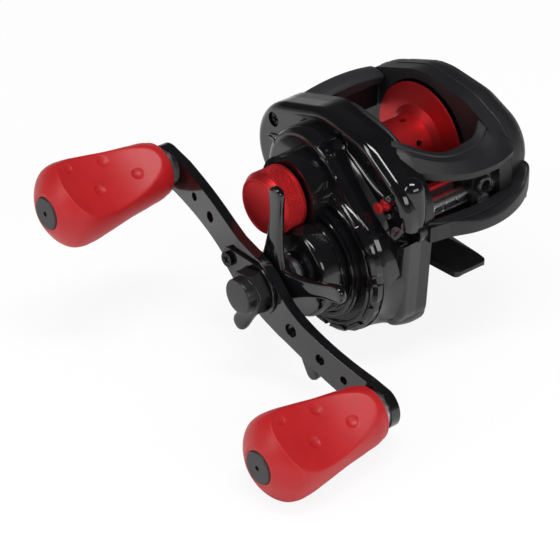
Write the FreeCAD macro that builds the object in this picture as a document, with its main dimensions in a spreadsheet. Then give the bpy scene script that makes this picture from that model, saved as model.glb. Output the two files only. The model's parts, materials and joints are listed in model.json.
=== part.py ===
import FreeCAD, Part
import math
import os
import re

import Sketcher
from FreeCAD import Placement, Rotation, Vector

# Low-profile baitcasting reel, right-hand crank.
# +X runs along the spool towards the crank, +Y towards the rod tip, +Z up.
# The origin is the middle of the foot's underside, where the rod's seat holds it.
# All lengths are millimetres and all angles degrees.

sizes = {
    # spool and its place above the foot
    "spool_y": -3.0, "spool_z": 20.5, "spool_half": 11.6, "flange_radius": 16.1,
    "flange_rim": 0.6, "arbor_radius": 8.0, "cone_radius": 10.1, "cone_reach": 1.5,
    "arbor_wall": 1.1, "spool_web": 2.4, "hub_radius": 3.4, "spool_clearance": 0.5,
    "arbor_hole_radius": 0.9, "arbor_holes": 6, "shaft_radius": 1.5, "running": 0.06,
    # gear train
    "gear_module": 0.525, "gear_teeth": 64, "pinion_teeth": 10, "gear_angle": -63.3,
    "pressure_angle": 25.0, "backlash": 0.14, "addendum": 0.8, "dedendum": 1.1,
    "wind_module": 0.6, "wind_drive_teeth": 32, "idler_teeth": 22, "worm_gear_teeth": 11,
    "worm_y": 22.5, "worm_z": 18.1,
    # stations along X, from the palm side to the crank side
    "palm_face": -25.8, "palm_seam": -17.0, "ring_inner": -12.5, "web_inner": 12.3,
    "web_thick": 2.0, "seam": 16.0, "shoulder_face": 22.0, "saddle_face": 28.0,
    "drum_face": 29.5, "step_face": 31.8, "collar_face": 34.8, "boss_face": 40.0,
    "star_back": 44.2, "star_front": 46.7, "arm_back": 48.8, "arm_thick": 2.8, "nut_face": 58.6,
    "grip_root": 49.8, "grip_tip": 86.6, "cast_long": 8.4,
    # outlines of the two sides, as circles that a belt runs round
    "rear_y": -17.5, "rear_z": 21.0, "rear_radius": 14.5, "rim_radius": 19.4,
    "front_y": 16.2, "front_z": 20.5, "front_radius": 12.4, "corner_y": 21.5,
    "corner_z": -7.0, "corner_radius": 5.5, "drum_radius": 21.5, "brow_y": 6.0, "brow_z": 21.5,
    "brow_radius": 17.0,
    "palm_rear_y": -15.5, "palm_rear_radius": 15.0, "palm_top_y": 7.0, "palm_top_z": 23.5,
    "palm_top_radius": 15.5, "palm_front_y": 13.5, "palm_front_radius": 13.0,
    "wall": 1.6, "side_wall": 1.8, "lip_gap": 0.3,
    # frame between the sides
    "trough_wall": 1.6, "trough_low": 197.0, "trough_high": 338.0, "sill_low": 13.5,
    "sill_high": 18.0, "sill_front": 31.5, "sill_depth": 3.2, "sill_bow": 70.0,
    "sill_end": -21.5, "sill_round": 1.4, "hood_high": 36.8, "hood_knee_y": 20.0,
    "hood_knee_z": 32.6, "hood_low": 29.3, "hood_thick": 2.2,
    # foot
    "foot_front": 31.0, "foot_rear": -31.0, "foot_half": 6.6, "foot_tip_half": 5.4,
    "foot_thick": 2.0, "foot_flat": 3.6, "foot_droop": 1.1, "foot_tip_thick": 1.1,
    "stem_reach": 15.0,
    # shaft, drag and star
    "drive_radius": 3.0, "gear_face": 17.0, "gear_width": 3.5, "drag_radius": 13.2,
    "drag_recess": 13.5, "washer_thick": 0.6, "roller_radius": 8.5, "sleeve_radius": 4.6,
    "boss_radius": 12.7, "step_radius": 16.0, "star_reach": 25.8, "star_tip": 2.3, "star_hub": 6.6,
    "star_arms": 5, "star_angle": 18.0,
    # crank
    "crank_half": 46.0, "crank_angle": -19.6, "arm_end": 5.7, "arm_waist": 4.7,
    "arm_centre": 7.4, "arm_sway": 2.6, "arm_sweep": 3.0, "post_radius": 2.0,
    "nut_flat": 5.4, "nut_round": 4.9, "grip_radius": 10.4, "grip_cap": 4.4,
    # controls
    "cast_radius": 8.8, "cast_land": 7.9, "neck_radius": 7.0, "dial_radius": 9.6,
    "magnet_travel": 1.5, "bar_travel": 4.5, "clutch_travel": 1.5, "magnets": 8,
    # level wind
    "guard_radius": 2.3, "guard_bore": 1.75, "worm_radius": 1.5, "pillar_y": 20.2,
    "pillar_z": 22.5, "pillar_radius": 1.0, "guide_x": -6.6, "guide_half": 3.2,
    "eye_radius": 2.6, "eye_bore": 1.55, "eye_long": 1.7, "eye_z": 21.9, "guide_front": 26.0,
    "chin_y": 18.5, "chin_z": 17.5, "chin_radius": 8.5, "sill_middle": -1.5,
    "floor_rear": 11.0, "pillar_seat": 1.2, "pinion_window": 4.6,
    # thumb bar and clutch
    "bar_rear": -25.2, "bar_front": -18.9, "bar_top": 33.6, "bar_thick": 2.9, "bar_wing": 22.0,
    "wing_thick": 1.4, "tongue_low": 21.8, "tongue_tall": 4.0, "tongue_wide": 2.6,
    "cam_back": 17.4, "cam_thick": 1.2, "post_reach": 8.6, "post_angle": 25.0,
    "pin_radius": 1.0, "yoke_back": 21.25, "yoke_thick": 1.0, "yoke_waist": 4.2, "yoke_end": 2.0,
    "spring_tall": 1.35, "spring_pitch": 0.45, "groove_radius": 2.0,
    # bearings, screws and seats
    "bearing_radius": 5.0, "bearing_width": 1.7, "spool_bearing": 4.0,
    "spool_bearing_width": 2.6, "screw_pitch": 18.0, "foot_screw_radius": 0.9,
    "foot_screw_bite": 3.0, "screw_head": 1.85, "screw_radius": 0.9, "screw_post": 2.7,
    "screw_land": 20.2, "front_land": 16.9, "lug_radius": 3.3, "rear_screw_y": -24.4, "rear_screw_z": 29.0,
    "top_screw_y": 2.6, "top_screw_z": 34.2, "front_screw_y": 25.9, "front_screw_z": 16.3,
    "palm_screw_y": 15.5, "palm_screw_z": 15.0, "palm_screw_radius": 1.2,
    "palm_screw_head": 2.6,
    # covers
    "saddle_y": -5.0, "saddle_z": 20.0, "saddle_radius": 15.5, "drum_step": 0.6,
    "collar_radius": 10.6, "neck_face": 39.4, "shoulder_round": 2.5, "saddle_round": 2.5,
    "barrel_round": 2.0, "boss_round": 1.2, "palm_round": 7.0, "palm_boss": 5.5,
    "dial_wall": 2.4, "dial_recess": 1.4, "dial_pin": 1.2, "dial_proud": 1.6,
    "clutch_pin_x": 15.2, "clutch_pin_radius": 0.5, "clutch_pin_reach": 2.3,
    "pinion_collar": 3.2, "wind_face": 14.8, "wind_wide": 1.1, "tang_half": 2.3,
    "sleeve_back": 22.2, "star_root": 4.2, "arm_knee": 11.0, "retainer_reach": 11.6,
    "retainer_thick": 0.9, "grip_root_radius": 6.0, "grip_scoop": 0.34, "grip_turn": 58.0,
    "bush_long": 2.4, "bush_radius": 3.1, "pawl_radius": 0.9,
    "arbor_hole_x": 4.7, "keeper_y": 21.0, "keeper_z": 23.9, "keeper_radius": 1.7,
}

doc = FreeCAD.newDocument("baitcasting_reel")
sheet = doc.addObject("Spreadsheet::Sheet", "Sizes")
for row, (word, number) in enumerate(sizes.items(), start=1):
    sheet.set(f"A{row}", word)
    sheet.set(f"B{row}", str(number))
    sheet.setAlias(f"B{row}", word)
doc.recompute()


class Size:
    """Reads a driving dimension back from the sheet: size.seam, size.wall."""

    def __getattr__(self, word):
        return float(sheet.get(word))


size = Size()


def bound(text):
    """An expression in plain words, with each size read from the sheet."""
    return re.sub(r"[a-z_]+", lambda m: f"Sizes.{m[0]}" if m[0] in sizes else m[0], str(text))


def value(text):
    return float(sheet.evalExpression(bound(text)))


def bind(item, prop, text):
    item.setExpression(prop, bound(text))


# ---- axes that the turning parts share --------------------------------------

gear_distance = "gear_module * (gear_teeth + pinion_teeth) / 2"
axes = {
    "spool": ("spool_y", "spool_z"),
    "drive": (f"spool_y + {gear_distance} * cos(gear_angle)",
              f"spool_z + {gear_distance} * sin(gear_angle)"),
    "worm": ("worm_y", "worm_z"),
    "pillar": ("pillar_y", "pillar_z"),
}
spool_at = Vector(0, size.spool_y, size.spool_z)
drive_at = Vector(0, value(axes["drive"][0]), value(axes["drive"][1]))
worm_at = Vector(0, size.worm_y, size.worm_z)


def polar(radius, degrees):
    turn = math.radians(degrees)
    return Vector(0, radius * math.cos(turn), radius * math.sin(turn))


def heading(start, end):
    return math.degrees(math.atan2(end.z - start.z, end.y - start.y))


# the idler sits where it meshes with the drive gear and the worm's gear
idler_reach = size.wind_module * (size.wind_drive_teeth + size.idler_teeth) / 2
worm_reach = size.wind_module * (size.idler_teeth + size.worm_gear_teeth) / 2
span = (worm_at - drive_at).Length
swing = math.degrees(math.acos((idler_reach ** 2 + span ** 2 - worm_reach ** 2)
                               / (2 * idler_reach * span)))
idler_at = drive_at + polar(idler_reach, heading(drive_at, worm_at) + swing)

crank = polar(1, size.crank_angle)
grip_at = {"front": drive_at + crank * size.crank_half,
           "rear": drive_at - crank * size.crank_half}

nodes = {}


def keep(item, label):
    item.Label = label
    nodes[label] = item
    return item


# ---- helpers: bodies, sketches and features -----------------------------------

def new_body(label):
    return keep(doc.addObject("PartDesign::Body", label), label)


def sketch_on(body, role, offset="0"):
    """A sketch on one of the body's own planes, moved along the plane's normal."""
    sketch = body.newObject("Sketcher::SketchObject", body.Name + "_sketch")
    plane = next(f for f in body.Origin.OriginFeatures if f.Role == role)
    sketch.AttachmentSupport = [(plane, "")]
    sketch.MapMode = "FlatFace"
    if offset != "0":
        bind(sketch, "AttachmentOffset.Base.z", offset)
    return sketch


def fix(sketch, kind, where, text):
    """One driving constraint whose value follows the sheet."""
    index = sketch.addConstraint(Sketcher.Constraint(kind, *where, value(text)))
    if re.search("[a-z]", str(text)):
        bind(sketch, f"Constraints[{index}]", text)


def polygon(sketch, points):
    """A closed run of lines whose corners are all dimensioned from the origin."""
    at = [Vector(value(x), value(y), 0) for x, y in points]
    first = sketch.GeometryCount
    for start, end in zip(at, at[1:] + at[:1]):
        sketch.addGeometry(Part.LineSegment(start, end))
    for i, (x, y) in enumerate(points):
        following = first + (i + 1) % len(points)
        sketch.addConstraint(Sketcher.Constraint("Coincident", first + i, 2, following, 1))
        fix(sketch, "DistanceX", (-1, 1, first + i, 1), x)
        fix(sketch, "DistanceY", (-1, 1, first + i, 1), y)


def circle(sketch, y, z, radius):
    at = Vector(value(y), value(z), 0)
    index = sketch.addGeometry(Part.Circle(at, Vector(0, 0, 1), value(radius)))
    fix(sketch, "DistanceX", (-1, 1, index, 3), y)
    fix(sketch, "DistanceY", (-1, 1, index, 3), z)
    fix(sketch, "Radius", (index,), radius)


def belt(rounds, inset=0.0):
    """Arcs and tangent lines of a belt run anticlockwise round (y, z, radius) circles."""
    rounds = [(y, z, r - inset) for y, z, r in rounds]
    normals = []
    for (y0, z0, r0), (y1, z1, r1) in zip(rounds, rounds[1:] + rounds[:1]):
        away = math.atan2(z1 - z0, y1 - y0)
        normals.append(away - math.acos((r0 - r1) / math.hypot(y1 - y0, z1 - z0)))
    pieces = []
    for i, (y, z, r) in enumerate(rounds):
        start = normals[i - 1]
        end = start + (normals[i] - start) % (2 * math.pi)
        middle = (start + end) / 2
        ring = [Vector(y + r * math.cos(a), z + r * math.sin(a), 0) for a in (start, middle, end)]
        pieces.append(Part.Arc(*ring))
    lines = [Part.LineSegment(a.EndPoint, b.StartPoint)
             for a, b in zip(pieces, pieces[1:] + pieces[:1])]
    return [piece for pair in zip(pieces, lines) for piece in pair]


def outline(sketch, pieces):
    sketch.addGeometry(pieces)


def pad(body, sketch, length, back=False):
    feature = body.newObject("PartDesign::Pad", body.Name + "_pad")
    feature.Profile = sketch
    feature.Reversed = back
    bind(feature, "Length", length)
    doc.recompute()
    return feature


def pocket(body, sketch, depth, forward=False):
    """Cuts against the sketch's normal, or along it when forward; it has to remove something."""
    before = body.Shape.Volume
    feature = body.newObject("PartDesign::Pocket", body.Name + "_pocket")
    feature.Profile = sketch
    feature.Reversed = forward
    bind(feature, "Length", depth)
    doc.recompute()
    if not body.Shape.Volume < before - 1e-3:
        raise RuntimeError(f"{body.Label}: a pocket cut nothing")
    return feature


def round_off(body, radius, wanted):
    """Fillets the edges of the body's tip that wanted(edge) picks."""
    base = body.Tip
    names = [f"Edge{i}" for i, edge in enumerate(base.Shape.Edges, start=1) if wanted(edge)]
    feature = body.newObject("PartDesign::Fillet", body.Name + "_fillet")
    feature.Base = (base, names)
    bind(feature, "Radius", radius)
    doc.recompute()
    return feature


def at_x(x):
    """Picks the edges that lie in the plane X = x."""
    return lambda edge: (abs(edge.BoundBox.XMin - value(x)) < 1e-4
                         and abs(edge.BoundBox.XMax - value(x)) < 1e-4)


def place_on(item, axis):
    y, z = axes[axis]
    bind(item, "Placement.Base.y", y)
    bind(item, "Placement.Base.z", z)


def turned(label, axis, profile):
    """A part turned about an X axis, from its half section as (x, radius) points."""
    body = new_body(label)
    sketch = sketch_on(body, "XY_Plane")
    polygon(sketch, profile)
    feature = body.newObject("PartDesign::Revolution", label + "_turned")
    feature.Profile = sketch
    feature.ReferenceAxis = (sketch, ["H_Axis"])
    feature.Angle = 360
    place_on(body, axis)
    doc.recompute()
    return body


def ring(label, axis, start, end, outer, bore):
    return turned(label, axis, [(start, bore), (end, bore), (end, outer), (start, outer)])


def carved(label, shape, base=Vector()):
    """A sub-part whose form is built by Part's own functions, then placed."""
    item = keep(doc.addObject("Part::Feature", label), label)
    item.Shape = shape
    item.Placement = Placement(base, Rotation()) * shape.Placement
    return item


def rod(start, end, radius, at=Vector()):
    return Part.makeCylinder(radius, end - start, Vector(start, at.y, at.z), Vector(1, 0, 0))


def tube(start, end, outer, bore, at=Vector()):
    return rod(start, end, outer, at).cut(rod(start, end, bore, at))


def block(low, high):
    return Part.makeBox(high.x - low.x, high.y - low.y, high.z - low.z, low)


def flat_face(pieces):
    """A face in the XY plane from a closed run of curves."""
    return Part.Face(Part.Wire(Part.__sortEdges__([piece.toShape() for piece in pieces])))


def prism(points, start, end):
    """A prism along X from (y, z) corners."""
    corners = [Vector(start, y, z) for y, z in points]
    face = Part.Face(Part.makePolygon(corners + corners[:1]))
    return face.extrude(Vector(end - start, 0, 0))


# ---- toothed wheels ------------------------------------------------------------

def wheel_outline(module, teeth, phase):
    """Involute teeth as straight facets, in the YZ plane; a tooth stands at the phase angle."""
    pitch = module * teeth / 2
    alpha = math.radians(size.pressure_angle)
    base = pitch * math.cos(alpha)
    root = pitch - module * size.dedendum
    tip = pitch + module * size.addendum
    half = math.pi / (2 * teeth) - size.backlash / (2 * pitch)

    def half_angle(radius):
        slope = math.acos(min(1.0, base / radius))
        return half + math.tan(alpha) - alpha - (math.tan(slope) - slope)

    low = max(root, base)
    flank = [low + (tip - low) * share for share in (0.0, 0.55, 1.0)]
    corners = []
    for tooth in range(teeth):
        centre = math.radians(phase) + 2 * math.pi * tooth / teeth
        side = [(root, half_angle(low))] if root < low - 1e-6 else []
        side += [(radius, half_angle(radius)) for radius in flank]
        corners += [(radius, centre - turn) for radius, turn in side]
        corners += [(radius, centre + turn) for radius, turn in reversed(side)]
    return [Vector(0, radius * math.cos(turn), radius * math.sin(turn)) for radius, turn in corners]


def wheel(at, module, teeth, phase, start, end):
    points = wheel_outline(module, teeth, phase)
    face = Part.Face(Part.makePolygon(points + points[:1]))
    face.translate(Vector(start, at.y, at.z))
    return face.extrude(Vector(end - start, 0, 0))


# ---- outlines of the two sides -------------------------------------------------

side_rounds = [
    (size.rear_y, size.rear_z, size.rear_radius),
    (drive_at.y, drive_at.z, size.drum_radius),
    (size.corner_y, size.corner_z, size.corner_radius),
    (size.front_y, size.front_z, size.front_radius),
    (size.brow_y, size.brow_z, size.brow_radius),
    (size.spool_y, size.spool_z, size.rim_radius),
]
palm_rounds = [
    (size.palm_rear_y, size.spool_z, size.palm_rear_radius),
    (size.spool_y, size.spool_z, size.rim_radius),
    (size.palm_front_y, size.palm_top_z, size.palm_front_radius),
    (size.palm_top_y, size.palm_top_z, size.palm_top_radius),
    (size.spool_y, size.spool_z, size.rim_radius),
]
ring_rounds = palm_rounds[:2] + [(size.chin_y, size.chin_z, size.chin_radius)] + palm_rounds[2:]
saddle_rounds = [
    (size.saddle_y, size.saddle_z, size.saddle_radius),
    (drive_at.y, drive_at.z, size.drum_radius - size.drum_step),
]
bore_radius = "flange_radius + spool_clearance"
screw_places = {"rear": ("rear_screw_y", "rear_screw_z"), "top": ("top_screw_y", "top_screw_z"),
                "front": ("front_screw_y", "front_screw_z")}
post_turn = polar(size.post_reach, size.post_angle)
post_places = [spool_at + post_turn, spool_at - post_turn]


# ---- frame ----------------------------------------------------------------------

def bowed_band(front, depth, bow, middle, start, end):
    """A band in the XY plane whose front and rear edges bow about X = middle."""
    def arc(reach):
        drop = [(x - middle) ** 2 / (2 * bow) for x in (start, middle, end)]
        return Part.Arc(*[Vector(x, reach - d, 0) for x, d in zip((start, middle, end), drop)])
    outer, inner = arc(front), arc(front - depth)
    return [outer, inner, Part.LineSegment(outer.StartPoint, inner.StartPoint),
            Part.LineSegment(outer.EndPoint, inner.EndPoint)]


def sector(middle, outer, inner, low, high):
    """A ring sector in a sketch's own plane, from one angle to another."""
    up = Vector(0, 0, 1)
    centre = Vector(middle.y, middle.z, 0)
    start, end = math.radians(low), math.radians(high)
    arcs = [Part.ArcOfCircle(Part.Circle(centre, up, r), start, end) for r in (outer, inner)]
    return arcs + [Part.LineSegment(arcs[0].StartPoint, arcs[1].StartPoint),
                   Part.LineSegment(arcs[0].EndPoint, arcs[1].EndPoint)]


def make_frame():
    """One moulding: gear-side tray, palm-side ring, trough under the spool, sill and stem."""
    body = new_body("frame")
    tray = sketch_on(body, "YZ_Plane", "web_inner")
    outline(tray, belt(side_rounds))
    pad(body, tray, "seam - web_inner")
    lug = sketch_on(body, "YZ_Plane", "web_inner")
    circle(lug, *screw_places["front"], "lug_radius")
    pad(body, lug, "seam - web_inner")
    hollow = sketch_on(body, "YZ_Plane", "web_inner + web_thick")
    outline(hollow, belt(side_rounds, size.side_wall))
    pocket(body, hollow, "seam", forward=True)
    trough = sketch_on(body, "YZ_Plane", "palm_seam")
    outer = value(bore_radius) + size.trough_wall
    outline(trough, sector(spool_at, outer, value(bore_radius), size.trough_low, size.trough_high))
    pad(body, trough, "web_inner - palm_seam")
    ring_plate = sketch_on(body, "YZ_Plane", "palm_seam")
    outline(ring_plate, belt(ring_rounds))
    pad(body, ring_plate, "ring_inner - palm_seam")
    floor = sketch_on(body, "YZ_Plane", "palm_seam")
    polygon(floor, [("floor_rear", "sill_low"), ("sill_front - sill_depth - 1", "sill_low"),
                    ("sill_front - sill_depth - 1", "sill_low + trough_wall"),
                    ("floor_rear", "sill_low + trough_wall")])
    pad(body, floor, "web_inner - palm_seam")
    sill = sketch_on(body, "XY_Plane", "sill_low")
    outline(sill, bowed_band(size.sill_front, size.sill_depth, size.sill_bow, size.sill_middle,
                             size.sill_end, size.web_inner + size.web_thick))
    pad(body, sill, "sill_high - sill_low")
    end = at_x("sill_end")
    round_off(body, "sill_round", lambda edge: end(edge) and edge.BoundBox.ZLength > 1)
    stem = sketch_on(body, "YZ_Plane", "-foot_flat")
    polygon(stem, [("-stem_reach", "foot_thick"), ("stem_reach", "foot_thick"),
                   ("stem_reach + 3", "sill_low + 1"), ("-stem_reach", "foot_thick + 6")])
    pad(body, stem, "2 * foot_flat")
    spool_bore = sketch_on(body, "YZ_Plane", "web_inner")
    circle(spool_bore, "spool_y", "spool_z", bore_radius)
    pocket(body, spool_bore, "web_inner - palm_seam + 1")
    return body


def drill_frame(body):
    """Seats and clearance holes for what the frame carries."""
    holes = sketch_on(body, "YZ_Plane", "seam")
    circle(holes, "spool_y", "spool_z", "pinion_window")
    polygon(holes, [("bar_rear + 0.6", "tongue_low - bar_travel - lip_gap"),
                    ("bar_rear + tongue_wide + 1.2", "tongue_low - bar_travel - lip_gap"),
                    ("bar_rear + tongue_wide + 1.2", "tongue_low + tongue_tall + lip_gap"),
                    ("bar_rear + 0.6", "tongue_low + tongue_tall + lip_gap")])
    pocket(body, holes, "seam - web_inner")
    shaft_holes = sketch_on(body, "YZ_Plane", "seam")
    circle(shaft_holes, *axes["worm"], "guard_radius")
    pocket(body, shaft_holes, "seam - palm_seam")
    pillar_holes = sketch_on(body, "YZ_Plane", "web_inner + pillar_seat")
    circle(pillar_holes, *axes["pillar"], "pillar_radius")
    pocket(body, pillar_holes, "web_inner - ring_inner + 2 * pillar_seat")
    boss = sketch_on(body, "YZ_Plane", "web_inner")
    circle(boss, *axes["drive"], "bearing_radius + wall")
    pad(body, boss, "web_thick + 0.3")
    seat = sketch_on(body, "YZ_Plane", "web_inner + web_thick + 0.3")
    circle(seat, *axes["drive"], "bearing_radius")
    pocket(body, seat, "bearing_width")
    pins = sketch_on(body, "YZ_Plane", "web_inner + web_thick")
    for at in post_places + [idler_at]:
        pins.addGeometry(Part.Circle(Vector(at.y, at.z, 0), Vector(0, 0, 1), size.pin_radius))
    pocket(body, pins, "web_thick - 0.5")
    screws = sketch_on(body, "XY_Plane", "foot_thick")
    for along in ("screw_pitch / 2", "-screw_pitch / 2"):
        circle(screws, "0", along, "foot_screw_radius")
    pocket(body, screws, "foot_screw_bite", forward=True)


def make_hood():
    """The thumb rest over the front of the spool: a bent plate between two curved edges."""
    rear = [(12.3, 15.2), (8.0, 18.5), (4.0, 20.3), (-4.0, 20.6), (-9.0, 20.0), (-12.5, 17.5)]
    front = [(-12.5, 28.7), (-6.0, 29.2), (2.0, 28.6), (8.0, 26.5), (12.3, 23.5)]
    edges = []
    for row in (rear, front):
        curve = Part.BSplineCurve()
        curve.interpolate([Vector(x, y, 0) for x, y in row])
        edges.append(curve)
    ends = [Part.LineSegment(edges[0].EndPoint, edges[1].StartPoint),
            Part.LineSegment(edges[1].EndPoint, edges[0].StartPoint)]
    plan = flat_face(edges + ends).extrude(Vector(0, 0, 2 * size.spool_z))
    over = [(14.0, size.hood_high), (size.hood_knee_y, size.hood_knee_z), (30.0, size.hood_low)]
    under = [(y, z - size.hood_thick) for y, z in reversed(over)]
    slab = prism(over + under, size.ring_inner, size.web_inner)
    carved("front_hood", slab.common(plan))


# ---- palm side -------------------------------------------------------------------

def make_palm_cover():
    body = new_body("palm_cover")
    shell = sketch_on(body, "YZ_Plane", "palm_face")
    outline(shell, belt(palm_rounds))
    pad(body, shell, "palm_seam - palm_face")
    round_off(body, "palm_round", at_x("palm_face"))
    hollow = sketch_on(body, "YZ_Plane", "palm_seam")
    outline(hollow, belt(palm_rounds, size.side_wall + size.palm_round / 3))
    pocket(body, hollow, "palm_seam - palm_face - dial_wall")
    boss = sketch_on(body, "YZ_Plane", "palm_face + dial_wall - 0.5")
    circle(boss, "spool_y", "spool_z", "palm_boss")
    pad(body, boss, "palm_seam - palm_face - dial_wall - 1.1")
    seat = sketch_on(body, "YZ_Plane", "palm_seam - 1.6")
    circle(seat, "spool_y", "spool_z", "spool_bearing")
    pocket(body, seat, "spool_bearing_width + 0.6")
    recess = sketch_on(body, "YZ_Plane", "palm_face")
    circle(recess, "spool_y", "spool_z", "dial_radius + lip_gap")
    pocket(body, recess, "dial_recess", forward=True)
    pin = sketch_on(body, "YZ_Plane", "palm_face")
    circle(pin, "spool_y", "spool_z", "dial_pin + running")
    pocket(body, pin, "dial_recess + 1.6", forward=True)
    well = sketch_on(body, "YZ_Plane", "palm_face")
    circle(well, "palm_screw_y", "palm_screw_z", "palm_screw_head + lip_gap")
    pocket(body, well, "dial_recess", forward=True)
    latch = sketch_on(body, "YZ_Plane", "palm_seam")
    circle(latch, "palm_screw_y", "palm_screw_z", "palm_screw_radius")
    pocket(body, latch, "palm_seam - palm_face")
    return body


# ---- crank side -------------------------------------------------------------------

def make_gear_cover():
    """The crank-side cover: shoulder, saddle, gear barrel, shaft boss and cast-control neck."""
    body = new_body("handle_side_cover")
    shoulder = sketch_on(body, "YZ_Plane", "seam")
    outline(shoulder, belt(side_rounds))
    pad(body, shoulder, "shoulder_face - seam")
    round_off(body, "shoulder_round", at_x("shoulder_face"))
    lug = sketch_on(body, "YZ_Plane", "seam")
    circle(lug, *screw_places["front"], "lug_radius")
    pad(body, lug, "front_land - seam")
    saddle = sketch_on(body, "YZ_Plane", "shoulder_face - 1.5")
    outline(saddle, belt(saddle_rounds))
    pad(body, saddle, "saddle_face - shoulder_face + 1.5")
    round_off(body, "saddle_round", at_x("saddle_face"))
    barrel = sketch_on(body, "YZ_Plane", "saddle_face - 3")
    circle(barrel, *axes["drive"], "drum_radius - drum_step - 0.4")
    pad(body, barrel, "drum_face - saddle_face + 3")
    round_off(body, "barrel_round", at_x("drum_face"))
    step = sketch_on(body, "YZ_Plane", "drum_face - 1")
    circle(step, *axes["drive"], "step_radius")
    pad(body, step, "step_face - drum_face + 1")
    boss = sketch_on(body, "YZ_Plane", "drum_face - 1")
    circle(boss, *axes["drive"], "boss_radius")
    pad(body, boss, "boss_face - drum_face + 1")
    round_off(body, "boss_round", at_x("boss_face"))
    scoop = sketch_on(body, "YZ_Plane", "collar_face")
    circle(scoop, *axes["spool"], "cast_radius + 0.1 + lip_gap")
    pocket(body, scoop, "boss_face - collar_face + 1", forward=True)
    collar = sketch_on(body, "YZ_Plane", "saddle_face - 1")
    circle(collar, *axes["spool"], "collar_radius")
    pad(body, collar, "collar_face - saddle_face + 1")
    neck = sketch_on(body, "YZ_Plane", "collar_face - 1")
    circle(neck, *axes["spool"], "neck_radius")
    pad(body, neck, "neck_face - collar_face + 1")
    return body


def hollow_gear_cover(body):
    """The gear room and the seats inside the crank-side cover."""
    room = sketch_on(body, "YZ_Plane", "seam")
    outline(room, belt(side_rounds, size.side_wall))
    pocket(body, room, "shoulder_face - seam - side_wall", forward=True)
    loft = sketch_on(body, "YZ_Plane", "seam")
    outline(loft, belt(saddle_rounds, size.side_wall))
    pocket(body, loft, "saddle_face - seam - side_wall", forward=True)
    seats = [("drive", "drum_radius - drum_step - 0.4 - side_wall", "drum_face - side_wall"),
             ("drive", "roller_radius", "boss_face - 0.8"),
             ("drive", "sleeve_radius + 0.6", "boss_face + 1"),
             ("spool", "spool_bearing", "saddle_face - side_wall + spool_bearing_width + 0.4"),
             ("spool", "shaft_radius + 0.4", "neck_face + 1")]
    for axis, radius, reach in seats:
        seat = sketch_on(body, "YZ_Plane", "seam")
        circle(seat, *axes[axis], radius)
        pocket(body, seat, f"{reach} - seam", forward=True)
    fill = sketch_on(body, "YZ_Plane", "seam + lip_gap")
    y, z = screw_places["front"]
    polygon(fill, [(f"{y} - 4.2", f"{z} - 4.2"), (f"{y} + 1.3", f"{z} - 4.2"),
                   (f"{y} + 1.4", f"{z} + 4.2"), (f"{y} - 4.2", f"{z} + 4.2")])
    pad(body, fill, "shoulder_face - seam - 1")
    for name, place in screw_places.items():
        face, room = ("front_land", "lug_radius - lip_gap") if name == "front" else (
            "screw_land", "screw_head + 0.25")
        if name != "front":
            post = sketch_on(body, "YZ_Plane", "seam + lip_gap")
            circle(post, *place, "screw_post")
            pad(body, post, "screw_land - seam - lip_gap")
        land = sketch_on(body, "YZ_Plane", face)
        circle(land, *place, room)
        pocket(body, land, "shoulder_face", forward=True)
        hole = sketch_on(body, "YZ_Plane", face)
        circle(hole, *place, "screw_radius")
        pocket(body, hole, f"{face} - seam")


# ---- spool -----------------------------------------------------------------------

def make_spool():
    half, cone = "spool_half", "cone_radius"
    inner = "arbor_radius - arbor_wall"
    rim = "spool_half - flange_rim"
    foot = f"{rim} - 0.7"
    shoulder = f"{foot} - cone_reach"
    right = [("spool_web / 2", inner), (f"{foot} - 1.2", inner), (f"{foot} + 0.2", f"{cone} - 1.2"),
             (f"{half} - 0.2", f"{cone} - 0.6"), (half, "flange_radius"), (rim, "flange_radius"),
             (foot, cone), (shoulder, "arbor_radius")]
    left = [(f"-({x})", r) for x, r in reversed(right[1:])]
    hub = [("-spool_web / 2", inner), ("-spool_web / 2", "hub_radius"), ("-3.2", "hub_radius"),
           ("-3.2", "shaft_radius"), ("3.2", "shaft_radius"), ("3.2", "hub_radius"),
           ("spool_web / 2", "hub_radius")]
    body = turned("spool", "spool", left + hub + right)
    for side in (-1, 1):
        holes = sketch_on(body, "XY_Plane")
        circle(holes, f"{side} * arbor_hole_x", "0", "arbor_hole_radius")
        drill = pocket(body, holes, "arbor_radius + 1", forward=True)
        spread = body.newObject("PartDesign::PolarPattern", f"spool_holes_{side + 1}")
        spread.Originals = [drill]
        spread.Axis = (holes, ["H_Axis"])
        bind(spread, "Occurrences", "arbor_holes")
        body.Tip = spread
        doc.recompute()
    return body


def make_spool_shaft():
    start, end = "palm_seam - 4.4", "neck_face + 0.3"
    body = turned("spool_shaft", "spool",
                  [(start, "0"), (end, "0"), (end, "shaft_radius"), (start, "shaft_radius")])
    cross = sketch_on(body, "XY_Plane", "-shaft_radius - 1")
    circle(cross, "clutch_pin_x", "0", "clutch_pin_radius")
    pocket(body, cross, "2 * shaft_radius + 2", forward=True)
    reach = size.clutch_pin_reach
    pin = Part.makeCylinder(size.clutch_pin_radius, 2 * reach, Vector(size.clutch_pin_x, 0, -reach))
    carved("clutch_pin", pin, spool_at)


# ---- pinion, yoke and gear train ----------------------------------------------------

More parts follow.
